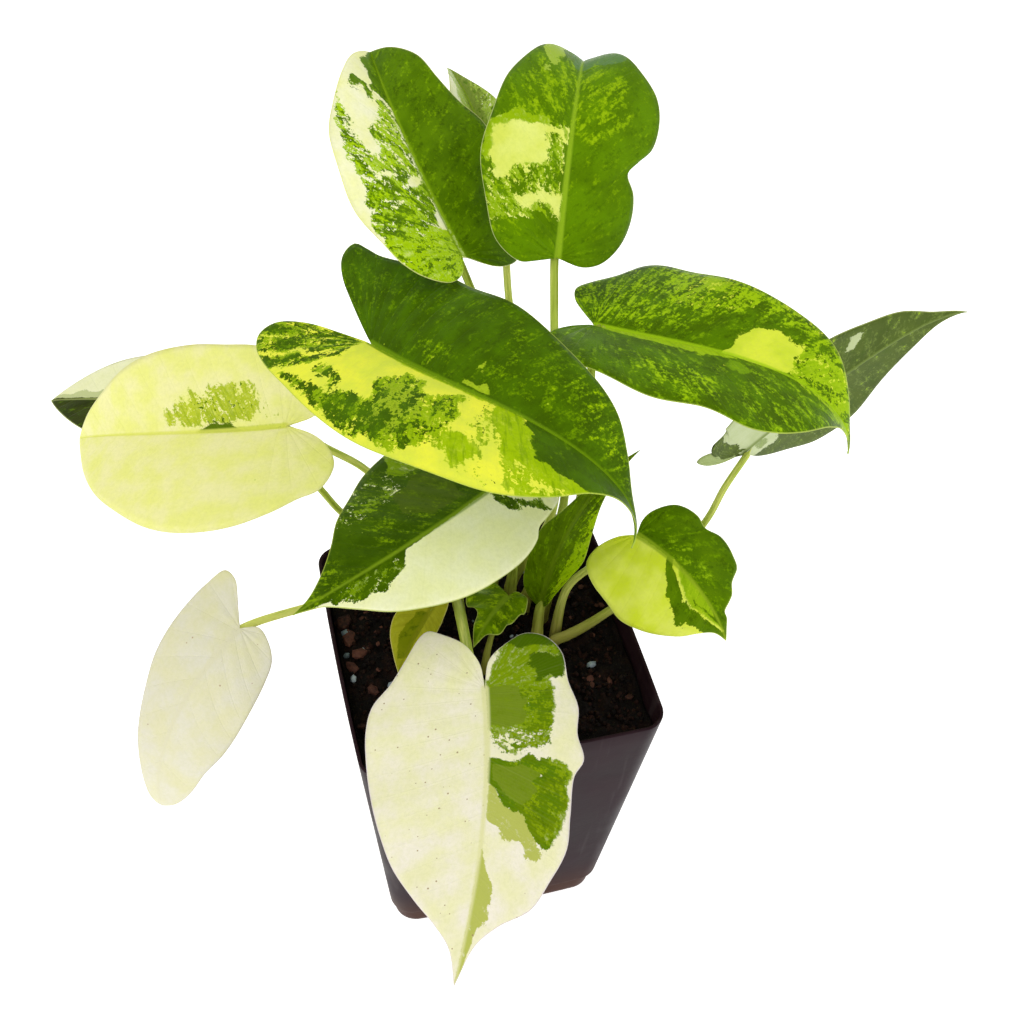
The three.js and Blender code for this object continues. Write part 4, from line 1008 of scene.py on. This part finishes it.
def make_stalk(leaf, number, material):
    """A round tube along the stalk's route. Its lower side has a shallow groove, a high power of the sine of
    the angle round the tube."""
    route = stalk_route(leaf)
    line = curve_through(route, STALK_STEPS)
    side, top = stalk_sections(leaf, line)
    spans_to_blade = len(route) - 3
    share = np.arange(len(line)) / (STALK_STEPS * spans_to_blade)
    beyond = np.clip(share - 1, 0, None) * spans_to_blade / 2
    above_soil = line[:, 2] - SOIL_LEVEL
    radius = stalk_radius(leaf, share, beyond, above_soil)
    angle = np.linspace(0, 2 * np.pi, STALK_SIDES, endpoint=False)
    groove = 1 - STALK_GROOVE * np.maximum(-np.sin(angle), 0) ** STALK_GROOVE_POWER
    ring = (np.cos(angle) * groove)[None, :, None] * side + (np.sin(angle) * groove)[None, :, None] * top
    points = line[:, None] + ring * radius[:, None, None]
    round_it = np.broadcast_to(angle / (2 * np.pi), points.shape[:2])
    length = np.broadcast_to(run_along(line)[:, None] + LEAF_OFFSET * number, points.shape[:2])
    stalk = mesh_object(
        "stalk_" + leaf["name"], points.reshape(-1, 3), ring_faces(len(line), STALK_SIDES),
        uv_maps=[("skin", np.stack([round_it, length * CM_PER_MM], axis=-1).reshape(-1, 2))],
        attributes=[("tone", np.full(points.shape[0] * STALK_SIDES, leaf["tone"])),
                    ("height", np.repeat(above_soil, STALK_SIDES))])
    finish_piece(stalk, material, "petiole", "petiole_" + leaf["name"])


# Pot

def turned(points, turn):
    """Points turned about the pot's axis, with the turn given as its cosine and its sine."""
    c, d = turn
    x, y = points[:, 0], points[:, 1]
    return np.column_stack([c * x - d * y, d * x + c * y, points[:, 2:]])


def square_ring(half, corner):
    """Points round a square with rounded corners and slightly bulging sides, anticlockwise from above. A
    side bulges by a parabola that is 0 at its ends, and a corner is a quarter of a circle."""
    flat = half - corner
    y = flat * np.linspace(-1, 1, POT_SIDE_STEPS + 1)[1:-1]
    side = np.stack([half + POT_SIDE_BULGE * (1 - (y / flat) ** 2), y], axis=-1)
    angle = np.linspace(0, np.pi / 2, POT_CORNER_STEPS + 1)
    bend = np.stack([flat + corner * np.cos(angle), flat + corner * np.sin(angle)], axis=-1)
    quarter = np.vstack([side, bend])
    return np.vstack([turned(quarter, turn) for turn in QUARTER_TURNS])


def pot_half_at(z):
    """Half the pot's outer width at a height: it widens evenly upwards, and the foot is set in by a step."""
    low, high = POT_FOOT_HEIGHT - POT_STEP_EASE, POT_FOOT_HEIGHT + POT_STEP_EASE
    step = POT_FOOT_STEP * (1 - smooth_step(z, low, high))
    return blend_between(POT_BASE_WIDTH, POT_TOP_WIDTH, z / POT_HEIGHT) / 2 - step


def stacked_rings(profile):
    """Square rings stacked by a profile of (half-width, corner radius, height)."""
    rings = []
    for half, corner, z in profile:
        ring = square_ring(half, corner)
        rings.append(np.column_stack([ring, np.full(len(ring), z)]))
    return np.stack(rings)


def to_axis(rings):
    """Rings shrunk to a point on the pot's axis, which closes an end of a stack."""
    points = rings.copy()
    points[..., :2] = 0
    return points


def pot_profile():
    """Half-width, corner radius and height of the pot's rings: round the bevel at the base, up the outside,
    over the half-round lip, down the inside and in over the floor."""
    heights = np.unique(np.concatenate([np.linspace(*band) for band in POT_BANDS]))
    outer = [(pot_half_at(z), POT_CORNER, z) for z in heights]
    inner = [(pot_half_at(z) - POT_WALL, POT_CORNER - POT_WALL, z)
             for z in heights[::-1] if z > POT_WALL + POT_FLOOR_BEND]
    bevel = []
    for angle in np.linspace(0, np.pi / 2, BEVEL_STEPS + 1)[:-1]:
        inwards = POT_BASE_BEVEL * (1 - math.sin(angle))
        upwards = POT_BASE_BEVEL * (1 - math.cos(angle))
        bevel.append((pot_half_at(0) - inwards, POT_CORNER - inwards, upwards))
    lip = []
    for angle in np.linspace(0, np.pi, LIP_STEPS + 1)[1:-1]:
        outwards = POT_WALL / 2 * math.cos(angle)
        lip.append((pot_half_at(POT_HEIGHT) - POT_WALL / 2 + outwards, POT_CORNER - POT_WALL / 2 + outwards,
                    POT_HEIGHT - POT_LIP + POT_LIP * math.sin(angle)))
    floor = (pot_half_at(POT_WALL) - POT_WALL - POT_FLOOR_BEND,
             POT_CORNER - POT_WALL - POT_FLOOR_BEND, POT_WALL)
    return [*bevel, *outer, *lip, *inner, floor]


def make_pot(material):
    """The pot's thin wall as square rings, closed by shrinking the first and the last one to a point. The
    slots are cut by a boolean."""
    rings = stacked_rings(pot_profile())
    rings = np.concatenate([to_axis(rings[:1]), rings, to_axis(rings[-1:])])
    pot = mesh_object("nursery_pot", rings.reshape(-1, 3), ring_faces(len(rings), rings.shape[1]))
    cut_slots(pot)
    finish_piece(pot, material, "pot_plastic", "pot")


def slot_cutter(turn):
    """A box through one side of the pot where the wall meets the floor. Its top falls with the fourth power
    of the share of its half-width, which makes a low arch."""
    x = np.linspace(-1, 1, SLOT_STEPS + 1)
    top = np.stack([x * SLOT_WIDTH / 2, SLOT_HEIGHT - (SLOT_HEIGHT + SLOT_BELOW) * x**4], axis=-1)
    section = np.vstack([top, (SLOT_WIDTH / 2, SLOT_BOTTOM), (-SLOT_WIDTH / 2, SLOT_BOTTOM)])
    outside = pot_half_at(0) + POT_SIDE_BULGE + SLOT_OUTSIDE
    ends = []
    for depth in (outside, outside - SLOT_DEPTH):
        end = np.column_stack([section[:, 0], np.full(len(section), -depth), section[:, 1]])
        ends.append(turned(end, turn))
    centres = [np.repeat(end.mean(0, keepdims=True), len(section), axis=0) for end in ends]
    rings = np.stack([centres[0], ends[0], ends[1], centres[1]])
    return mesh_object("slot_cutter", rings.reshape(-1, 3), ring_faces(len(rings), len(section)))


def cut_slots(pot):
    """Cuts a drainage slot through each side of the pot."""
    for turn in QUARTER_TURNS:
        cutter = slot_cutter(turn)
        modifier = pot.modifiers.new("slot", "BOOLEAN")
        modifier.operation = "DIFFERENCE"
        modifier.object = cutter
        bpy.context.view_layer.update()
        cut = bpy.data.meshes.new_from_object(pot.evaluated_get(bpy.context.evaluated_depsgraph_get()))
        pot.modifiers.remove(modifier)
        pot.data = cut
        bpy.data.objects.remove(cutter)


# Potting mix

def soil_height(x, y):
    """The soil's level plus its waves: shares of the bump's height times the sine of a slanted distance."""
    waves = sum(share * np.sin(a * x + b * y + phase) for share, a, b, phase in SOIL_WAVES)
    return SOIL_LEVEL + SOIL_BUMP * waves


def make_soil(material, random):
    """A closed block that fills the pot: square rings up the inside of the wall, then rings of shrinking
    size over the top, at the height of the waves and the crumble."""
    heights = np.linspace(SOIL_FLOOR, SOIL_LEVEL - SOIL_EDGE_DROP, SOIL_WALL_RINGS)
    wall = stacked_rings([(pot_half_at(z) - POT_WALL - SOIL_GAP, POT_CORNER - POT_WALL, z) for z in heights])
    outline = square_ring(pot_half_at(SOIL_LEVEL) - POT_WALL - SOIL_GAP, POT_CORNER - POT_WALL)
    top = np.linspace(1, 0, SOIL_RINGS)[:, None, None] * outline
    x, y = top[..., 0], top[..., 1]
    z = soil_height(x, y) + plane_waves(x, y, random, *SOIL_CRUMBLE)
    rings = np.concatenate([to_axis(wall[:1]), wall, np.stack([x, y, z], axis=-1)])
    soil = mesh_object("growing_mix", rings.reshape(-1, 3), ring_faces(len(rings), rings.shape[1]))
    finish_piece(soil, material, "potting_mix", "soil")


def twenty_faces():
    """The twelve corners and twenty faces of a regular solid of triangles, one unit from its centre."""
    shell = bmesh.new()
    bmesh.ops.create_icosphere(shell, subdivisions=1, radius=1)
    corners = np.array([v.co for v in shell.verts])
    faces = np.array([[v.index for v in f.verts] for f in shell.faces])
    shell.free()
    return corners, faces


def turn_matrices(*rows):
    """A turning matrix for each grain, from three rows of three entries."""
    return np.stack([np.stack(row, axis=-1) for row in rows], axis=-2)


def random_turns(random, count):
    """Turns any way round, from random unit quaternions."""
    a, b, c, d = unit(random.normal(size=(count, 4))).T
    return turn_matrices(
        (1 - 2 * (c * c + d * d), 2 * (b * c - a * d), 2 * (b * d + a * c)),
        (2 * (b * c + a * d), 1 - 2 * (b * b + d * d), 2 * (c * d - a * b)),
        (2 * (b * d - a * c), 2 * (c * d + a * b), 1 - 2 * (b * b + c * c)))


def lying_turns(random, count):
    """Turns of flat grains, which lie down: a slight tilt about X and then any turn about Z."""
    spin = random.uniform(0, 2 * np.pi, count)
    tilt = random.uniform(-LYING_TILT, LYING_TILT, count)
    zero, one = np.zeros(count), np.ones(count)
    about_z = turn_matrices(
        (np.cos(spin), -np.sin(spin), zero), (np.sin(spin), np.cos(spin), zero), (zero, zero, one))
    about_x = turn_matrices(
        (one, zero, zero), (zero, np.cos(tilt), -np.sin(tilt)), (zero, np.sin(tilt), np.cos(tilt)))
    return about_z @ about_x


def scattered(random, count, half):
    """Random places inside a square with rounded corners, the first of twice as many."""
    places = random.uniform(-half, half, (count * 2, 2))
    beyond = np.maximum(np.abs(places) - (half - SCATTER_CORNER), 0)
    return places[np.hypot(beyond[:, 0], beyond[:, 1]) < SCATTER_CORNER][:count]


def make_grains(kind, random):
    """Small lumps that lie on the soil, a few where they are seen and the rest scattered. Each is the same
    twenty-faced solid with its corners moved in and out at random, stretched to its size, turned at random
    and set a little into the soil."""
    half = pot_half_at(SOIL_LEVEL) - POT_WALL - SCATTER_CLEAR
    placed = np.array(kind["placed"], float).reshape(-1, 3)
    places = np.vstack([placed[:, :2], scattered(random, kind["count"], half)])
    sizes = np.concatenate([placed[:, 2], random.uniform(*kind["sizes"], len(places) - len(placed))])
    count = len(places)
    flatness = kind["flatness"]
    lies = flatness < LIES_BELOW
    corners, faces = twenty_faces()
    shape = corners[None] * (1 + random.uniform(-kind["dents"], kind["dents"], (count, len(corners), 1)))
    breadth = random.uniform(*GRAIN_BREADTH, count)
    height = flatness * random.uniform(*GRAIN_HEIGHT, count)
    stretch = np.stack([np.ones(count), breadth, height], -1)
    shape = shape * (stretch * sizes[:, None] / 2)[:, None]
    turn = random_turns(random, count)
    if lies:
        turn = lying_turns(random, count)
    shape = np.einsum("nij,nkj->nki", turn, shape)
    low = shape[..., 2].min(1)
    z = soil_height(places[:, 0], places[:, 1]) - low - GRAIN_SINK * sizes * flatness
    shape[..., :2] += places[:, None, :]
    shape[..., 2] += z[:, None]
    index = faces[None] + (np.arange(count) * len(corners))[:, None, None]
    shade = np.repeat(random.uniform(0, 1, count), len(corners))
    grains = mesh_object(kind["name"], shape.reshape(-1, 3), index.reshape(-1, 3),
                         attributes=[("shade", shade)], merge=0, smooth=not lies)
    finish_piece(grains, grain_material(kind), "potting_mix")


# Materials

def node(tree, kind, links=None, **settings):
    """Adds a node. links gives its inputs by name or number: a value, or another node's output."""
    made = tree.nodes.new(kind)
    for name, value in settings.items():
        setattr(made, name, value)
    for key, value in (links or {}).items():
        if isinstance(value, bpy.types.NodeSocket):
            tree.links.new(value, made.inputs[key])
        else:
            made.inputs[key].default_value = value
    return made


def arithmetic(tree, operation, a, b, c=0.0):
    """The result of arithmetic on two or three values."""
    return node(tree, "ShaderNodeMath", {0: a, 1: b, 2: c}, operation=operation).outputs[0]


def times(tree, a, b):
    """a times b."""
    return arithmetic(tree, "MULTIPLY", a, b)


def times_plus(tree, a, b, c):
    """a times b, plus c."""
    return arithmetic(tree, "MULTIPLY_ADD", a, b, c)


def ramp(tree, value, low, high, start=0.0, end=1.0):
    """start at low and before it, end at high and past it, and a smooth change between them."""
    links = {"Value": value, "From Min": low, "From Max": high, "To Min": start, "To Max": end}
    return node(tree, "ShaderNodeMapRange", links, interpolation_type="SMOOTHSTEP").outputs[0]


def mixed(tree, share, a, b):
    """Colour a at share 0 and b at share 1."""
    return node(tree, "ShaderNodeMix", {0: share, 6: a, 7: b}, data_type="RGBA").outputs[2]


def attribute(tree, name):
    """One of the piece's own values."""
    return node(tree, "ShaderNodeAttribute", attribute_name=name).outputs["Fac"]


def own_place(tree, uv_map):
    """The place on the piece's own surface, from one of its maps."""
    return node(tree, "ShaderNodeUVMap", uv_map=uv_map).outputs[0]


def object_place(tree):
    """The place in the object's own metres."""
    return node(tree, "ShaderNodeTexCoord").outputs["Object"]


def noise(tree, vector, scale, detail=2.0, roughness=0.5):
    """Cloudy noise round 0.5."""
    links = {"Vector": vector, "Scale": scale, "Detail": detail, "Roughness": roughness}
    return node(tree, "ShaderNodeTexNoise", links).outputs[0]


def stretched(tree, vector, x, y, offset=0.0):
    """Two coordinates stretched by x and y, with a third one that sets the pattern apart."""
    parts = node(tree, "ShaderNodeSeparateXYZ", {0: vector})
    links = {0: times(tree, parts.outputs[0], x), 1: times(tree, parts.outputs[1], y), 2: offset}
    return node(tree, "ShaderNodeCombineXYZ", links).outputs[0]


def new_group(name, inputs, outputs):
    """An empty shader node group with named inputs and outputs."""
    group = bpy.data.node_groups.new(name, "ShaderNodeTree")
    for label, kind in inputs:
        group.interface.new_socket(name=label, in_out="INPUT", socket_type=kind)
    for label, kind in outputs:
        group.interface.new_socket(name=label, in_out="OUTPUT", socket_type=kind)
    return group, group.nodes.new("NodeGroupInput").outputs, group.nodes.new("NodeGroupOutput").inputs


def leaf_clouds(group, veins, flat):
    """Uneven fields over a leaf. Streaks and brush are drawn out along the side veins, grain is a fine
    speckle and soft is broad. The two torn ones add streaks and grain up to a field about 0."""
    streaks = noise(group, stretched(group, veins, 2.5, 1.5), 1.0, 5.0, 0.62)
    other_streaks = noise(group, stretched(group, veins, 3.0, 1.9, 5.0), 1.0, 5.0, 0.62)
    grain = noise(group, flat, 8.0, 4.0, 0.75)
    other_grain = noise(group, stretched(group, flat, 9.0, 9.0, 3.0), 1.0, 4.0, 0.75)
    brush = noise(group, stretched(group, veins, 7.0, 1.0, 7.0), 1.0, 3.0, 0.6)
    soft = noise(group, flat, 1.1, 3.0)
    torn = times_plus(group, streaks, 4.4, times_plus(group, grain, 3.8, -4.1))
    torn_too = times_plus(group, other_grain, 3.6, times_plus(group, brush, 1.6, -4.6))
    torn_too = times_plus(group, other_streaks, 4.0, torn_too)
    return dict(torn=torn, torn_too=torn_too, grain=grain, brush=brush, soft=soft)


def green_paint(group, given, clouds, marble):
    """Green with a second green, darker shreds and, more so where the leaf is mottled, lighter spots."""
    torn, torn_too, soft = clouds["torn"], clouds["torn_too"], clouds["soft"]
    mottle = times_plus(group, marble, 0.08, attribute(group, "mottle"))
    spots = times(group, torn_too, times_plus(group, mottle, 1.3, 0.6))
    spots = times_plus(group, mottle, 0.5, spots)
    green = mixed(group, ramp(group, soft, 0.35, 0.65), given["green"], given["green_tint"])
    green = mixed(group, ramp(group, torn, 0.0, -0.9, end=0.65), green, given["dark"])
    green = mixed(group, ramp(group, spots, 0.15, 0.9, end=0.9), green, given["light"])
    return mixed(group, ramp(group, spots, 0.85, 1.35), green, given["lime"])


def marked_colour(group, given, clouds):
    """The ground with the markings over it. Each marking shows where its own distance plus a torn field is
    above 0, and that field counts for more in marbled zones and for less at the midrib."""
    torn, torn_too = clouds["torn"], clouds["torn_too"]
    marble = attribute(group, "marble")
    coarse = arithmetic(group, "ADD", marble, ramp(group, attribute(group, "rib"), -6.0, -0.5, 0.85, 0.3))

    def shows(name, field, edge=0.15):
        return ramp(group, times_plus(group, field, coarse, attribute(group, name)), -edge, edge)

    ground = mixed(group, ramp(group, clouds["soft"], 0.3, 0.7), given["ground"], given["ground_tint"])
    ground = mixed(group, ramp(group, clouds["grain"], 0.35, 0.7, end=0.15), ground, given["pale"])
    lime = mixed(group, ramp(group, torn_too, 0.0, 1.2, end=0.5), given["lime"], given["ground_tint"])
    lime = mixed(group, ramp(group, torn, 0.3, -0.8, end=0.4), lime, given["light"])
    lime = mixed(group, ramp(group, clouds["brush"], 0.5, 0.65, end=0.6), lime, given["light"])
    pale = mixed(group, ramp(group, torn_too, 0.3, 1.2, end=0.5), given["pale"], given["ground"])
    # The sage colour is a sage marking, and on back_right and inner_left a painted sheen.
    sage_and_sheen = mixed(group, ramp(group, torn_too, 0.0, 1.2, end=0.5), given["sage_and_sheen"], given["lime"])
    sage_and_sheen = mixed(group, ramp(group, torn, 0.0, -0.9, end=0.5), sage_and_sheen, given["green"])
    green = green_paint(group, given, clouds, marble)
    colour = mixed(group, shows("lime", torn_too, 0.4), ground, lime)
    colour = mixed(group, shows("pale", torn), colour, pale)
    colour = mixed(group, shows("sage_and_sheen", torn), colour, sage_and_sheen)
    colour = mixed(group, shows("green", torn), colour, green)
    return mixed(group, shows("dark", torn, 0.3), colour, given["dark"])


def fleck_mask(group, flat):
    """Small round flecks. Cells are picked by a random number, more of them where the leaf is flecked, and a
    second one sets the radius."""
    dots = node(group, "ShaderNodeTexVoronoi", {"Vector": flat, "Scale": FLECK_SCALE},
                voronoi_dimensions="2D")
    chance = node(group, "ShaderNodeSeparateColor", {0: dots.outputs["Color"]})
    picked = times_plus(group, attribute(group, "fleck"), FLECK_CHANCE, chance.outputs[0])
    radius = times_plus(group, chance.outputs[1], FLECK_GROWTH, FLECK_RADIUS)
    inside = arithmetic(group, "SUBTRACT", radius, dots.outputs["Distance"])
    spot = ramp(group, inside, -FLECK_EDGE, FLECK_EDGE, end=FLECK_SHOWS)
    return times(group, spot, ramp(group, picked, 0.995, 1.0))


def lines_across(group, across, spacing, reach):
    """1 on lines at a spacing in millimetres, and 0 beyond a share of half the spacing."""
    line = arithmetic(group, "PINGPONG", times(group, across, 2 / (CM_PER_MM * spacing)), 1.0)
    return ramp(group, line, 0.0, reach, 1.0, 0.0)


def leaf_pattern_group():
    """The pattern of every leaf: its markings, and over them small flecks, faint side veins, a pale midrib,
    a thin pale margin and a duller underside. Its relief is in millimetres and turns over underneath."""
    group, given, made = new_group(
        "leaf pattern", [(name, COLOUR_SOCKET) for name in BASE_COLOURS],
        [("Color", COLOUR_SOCKET), ("Roughness", VALUE_SOCKET), ("Relief", VALUE_SOCKET)])
    veins = own_place(group, "veins")
    flat = own_place(group, "flat")
    clouds = leaf_clouds(group, veins, flat)
    colour = marked_colour(group, given, clouds)
    colour = mixed(group, fleck_mask(group, flat), colour, given["fleck"])

    across = node(group, "ShaderNodeSeparateXYZ", {0: veins}).outputs[0]
    side_vein = lines_across(group, across, FURROW_SPACING, 0.12)
    fine_vein = lines_across(group, across, FINE_VEIN_SPACING, 0.6)
    rib = ramp(group, attribute(group, "rib"), -0.5, 0.4)
    margin = ramp(group, attribute(group, "edge"), 0.1, 0.4, MARGIN_SHOWS, 0.0)
    under = attribute(group, "under")
    for lines, share in ((side_vein, SIDE_VEIN_SHOWS), (fine_vein, FINE_VEIN_SHOWS), (rib, RIB_SHOWS)):
        colour = mixed(group, times(group, lines, share), colour, given["rib"])
    colour = mixed(group, margin, colour, given["margin"])
    colour = mixed(group, times(group, under, UNDERSIDE_SHOWS), colour, paint(UNDERSIDE))

    relief = times(group, clouds["grain"], LEAF_GRAIN_RELIEF)
    relief = times_plus(group, fine_vein, -FINE_VEIN_RELIEF, relief)
    relief = times_plus(group, side_vein, -SIDE_VEIN_RELIEF, relief)
    relief = times(group, relief, times_plus(group, under, -UNDERSIDE_TURNS, 1.0))
    dullness = times_plus(group, under, UNDERSIDE_DULLER, LEAF_ROUGHNESS)
    dullness = times_plus(group, clouds["soft"], LEAF_ROUGHNESS_VARIES, dullness)
    for label, value in (("Color", colour), ("Roughness", dullness), ("Relief", relief)):
        group.links.new(value, made[label])
    return group


def surface(name, roughness=0.5, specular=0.5, sheen_tint=(1, 1, 1), subsurface=0.0):
    """A material with its Principled shader, whose even values are set on its own sockets."""
    material = bpy.data.materials.new(name)
    material.use_nodes = True
    shader = material.node_tree.nodes["Principled BSDF"]
    shader.inputs["Roughness"].default_value = roughness
    shader.inputs["Specular IOR Level"].default_value = specular
    shader.inputs["Specular Tint"].default_value = (*sheen_tint, 1)
    shader.inputs["Subsurface Weight"].default_value = subsurface
    shader.inputs["Subsurface Radius"].default_value = LIGHT_REACH_COLOUR
    shader.inputs["Subsurface Scale"].default_value = LIGHT_REACH * MM
    return material, material.node_tree, shader


def dress(tree, shader, colour, roughness, relief):
    """Feeds a colour, a roughness and a height in millimetres to a shader."""
    bump = node(tree, "ShaderNodeBump", {"Height": relief, "Distance": MM})
    tree.links.new(colour, shader.inputs["Base Color"])
    tree.links.new(roughness, shader.inputs["Roughness"])
    tree.links.new(bump.outputs[0], shader.inputs["Normal"])


def leaf_material(leaf, group):
    """A leaf's own colours on the shared pattern."""
    material, tree, shader = surface(
        "leaf_" + leaf["name"], specular=LEAF_SPECULAR, sheen_tint=LEAF_SHEEN, subsurface=LEAF_SUBSURFACE)
    pattern = tree.nodes.new("ShaderNodeGroup")
    pattern.node_tree = group
    for name, colour in {**BASE_COLOURS, **LEAF_COLOURS[leaf["name"]]}.items():
        pattern.inputs[name].default_value = paint(colour)
    dress(tree, shader, pattern.outputs["Color"], pattern.outputs["Roughness"], pattern.outputs["Relief"])
    return material


def stalk_material():
    """Stalks from cream to olive green by their own tone, streaked lengthwise and browner at the soil."""
    material, tree, shader = surface(
        "stalk_skin", specular=STALK_SPECULAR, sheen_tint=LEAF_SHEEN, subsurface=STALK_SUBSURFACE)
    paints = paints_of(STALK_PAINTS)
    skin = own_place(tree, "skin")
    streaks = noise(tree, stretched(tree, skin, 9.0, 0.5), 1.0, 4.0, 0.6)
    mottle = noise(tree, stretched(tree, skin, 5.0, 4.0), 1.0, 4.0, 0.65)
    tone = times_plus(tree, arithmetic(tree, "SUBTRACT", streaks, 0.5), 1.7, attribute(tree, "tone"))
    colour = mixed(tree, ramp(tree, tone, 0.0, 0.5), paints["cream"], paints["green"])
    colour = mixed(tree, ramp(tree, tone, 0.5, 1.0), colour, paints["olive"])
    colour = mixed(tree, ramp(tree, mottle, 0.52, 0.7, end=0.25), colour, paints["spots"])
    low = ramp(tree, attribute(tree, "height"), 0.0, STALK_BROWN_UP_TO, 0.7, 0.0)
    colour = mixed(tree, low, colour, paints["foot"])
    dress(tree, shader, colour, ramp(tree, mottle, 0.3, 0.7, 0.3, 0.45), times(tree, streaks, 0.12))
    return material


def pot_material():
    """Thin dark plastic: near black with a warm tinge, browner at the base, with faint haze and scuffs."""
    material, tree, shader = surface("pot_plastic", specular=POT_SPECULAR, sheen_tint=POT_SHEEN)
    paints = paints_of(POT_PAINTS)
    place = object_place(tree)
    haze = noise(tree, place, 30.0, 3.0, 0.55)
    grain = noise(tree, place, 900.0)
    drawn_up = node(tree, "ShaderNodeMapping", {"Vector": place, "Scale": POT_SCUFF_SCALE}).outputs[0]
    scuffs = noise(tree, drawn_up, 1.0)
    colour = mixed(tree, ramp(tree, haze, 0.35, 0.7), paints["dark"], paints["light"])
    colour = mixed(tree, ramp(tree, scuffs, 0.6, 0.75, end=0.15), colour, paints["scuffs"])
    height = node(tree, "ShaderNodeSeparateXYZ", {0: place}).outputs[2]
    low = times_plus(tree, haze, 0.02, height)
    colour = mixed(tree, ramp(tree, low, *POT_BROWN_FADES, 0.9, 0.0), colour, paints["foot"])
    relief = times_plus(tree, grain, 0.02, times(tree, haze, 0.5))
    dress(tree, shader, colour, ramp(tree, haze, 0.3, 0.7, 0.36, 0.5), relief)
    return material


def soil_material():
    """Moist peat: near black, with brown fibres and a rough damp grain."""
    material, tree, shader = surface("potting_mix", specular=SOIL_SPECULAR)
    paints = paints_of(SOIL_PAINTS)
    place = object_place(tree)
    lumps = noise(tree, place, 180.0, 4.0, 0.65)
    fine = noise(tree, place, 900.0, 4.0, 0.7)
    colour = mixed(tree, ramp(tree, lumps, 0.45, 0.7), paints["wet"], paints["dry"])
    colour = mixed(tree, ramp(tree, fine, 0.6, 0.75, end=0.5), colour, paints["fibres"])
    relief = times_plus(tree, fine, 0.5, times(tree, lumps, 1.2))
    dress(tree, shader, colour, ramp(tree, fine, 0.3, 0.7, 0.65, 0.95), relief)
    return material


def grain_material(kind):
    """Lumps from a dark to a light colour by their own shade, with a pitted surface."""
    material, tree, shader = surface(kind["material"], specular=GRAIN_SPECULAR)
    pits = noise(tree, object_place(tree), kind["pits"], 4.0, 0.65)
    share = times_plus(tree, arithmetic(tree, "SUBTRACT", pits, 0.5), 1.6, attribute(tree, "shade"))
    colour = mixed(tree, ramp(tree, share, 0.0, 1.0), paint(kind["dark"]), paint(kind["light"]))
    roughness = ramp(tree, pits, 0.3, 0.7, kind["roughness"] - 0.15, kind["roughness"])
    dress(tree, shader, colour, roughness, times(tree, pits, 0.5))
    return material


# Stage

def make_stage():
    """A plain pale floor with an even glow of its own, which keeps the shadows on it faint."""
    corners = np.array([(-1, -1, 0), (1, -1, 0), (1, 1, 0), (-1, 1, 0)]) * FLOOR_REACH
    floor = mesh_object("floor", corners, [(0, 1, 2, 3)], merge=0)
    material, _, shader = surface("floor_white", roughness=0.9, specular=0.1)
    shader.inputs["Base Color"].default_value = FLOOR_COLOUR
    shader.inputs["Emission Color"].default_value = WHITE
    shader.inputs["Emission Strength"].default_value = FLOOR_GLOW
    floor.data.materials.append(material)


def look_matrix(at, aim, roll_deg=0.0):
    """Placement of something that looks from one point to another, turned about its own axis."""
    back = (Vector(at) - Vector(aim)).normalized()
    side = Vector((0, 0, 1)).cross(back).normalized()
    up = back.cross(side)
    c, s = math.cos(math.radians(roll_deg)), math.sin(math.radians(roll_deg))
    right, top = side * c + up * s, up * c - side * s
    turn = Matrix((right, top, back)).transposed().to_4x4()
    return Matrix.Translation(Vector(at) * MM) @ turn


def soft_light(name, at, size, power):
    """A large square light that faces the plant."""
    data = bpy.data.lights.new(name, "AREA")
    data.size = size * MM
    data.energy = power
    light = bpy.data.objects.new(name, data)
    light.matrix_world = look_matrix(at, CAMERA_AIM)
    bpy.context.scene.collection.objects.link(light)


def make_studio():
    """The even surround, the two soft lights, the plain colour view and the camera."""
    scene = bpy.context.scene
    scene.view_settings.view_transform = "Standard"
    world = bpy.data.worlds.new("surround")
    world.use_nodes = True
    world.node_tree.nodes["Background"].inputs["Color"].default_value = WHITE
    world.node_tree.nodes["Background"].inputs["Strength"].default_value = SURROUND_STRENGTH
    scene.world = world
    soft_light("key", KEY_AT, KEY_SIZE, KEY_POWER)
    soft_light("fill", FILL_AT, FILL_SIZE, FILL_POWER)
    data = bpy.data.cameras.new("camera")
    data.lens = LENS
    data.sensor_width = SENSOR
    camera = bpy.data.objects.new("camera", data)
    camera.matrix_world = look_matrix(CAMERA_AT, CAMERA_AIM, CAMERA_ROLL_DEG)
    scene.collection.objects.link(camera)
    scene.camera = camera


def make_mix():
    """The potting mix with its crumbs, bark chips and perlite."""
    random = np.random.default_rng(SEED)
    make_soil(soil_material(), random)
    for kind in GRAINS:
        make_grains(kind, random)


def make_plant():
    """Every leaf's blade and stalk."""
    group = leaf_pattern_group()
    skin = stalk_material()
    for number, leaf in enumerate(LEAVES):
        make_blade(leaf, number, leaf_material(leaf, group))
        make_stalk(leaf, number, skin)


make_studio()
make_stage()
make_pot(pot_material())
make_mix()
make_plant()
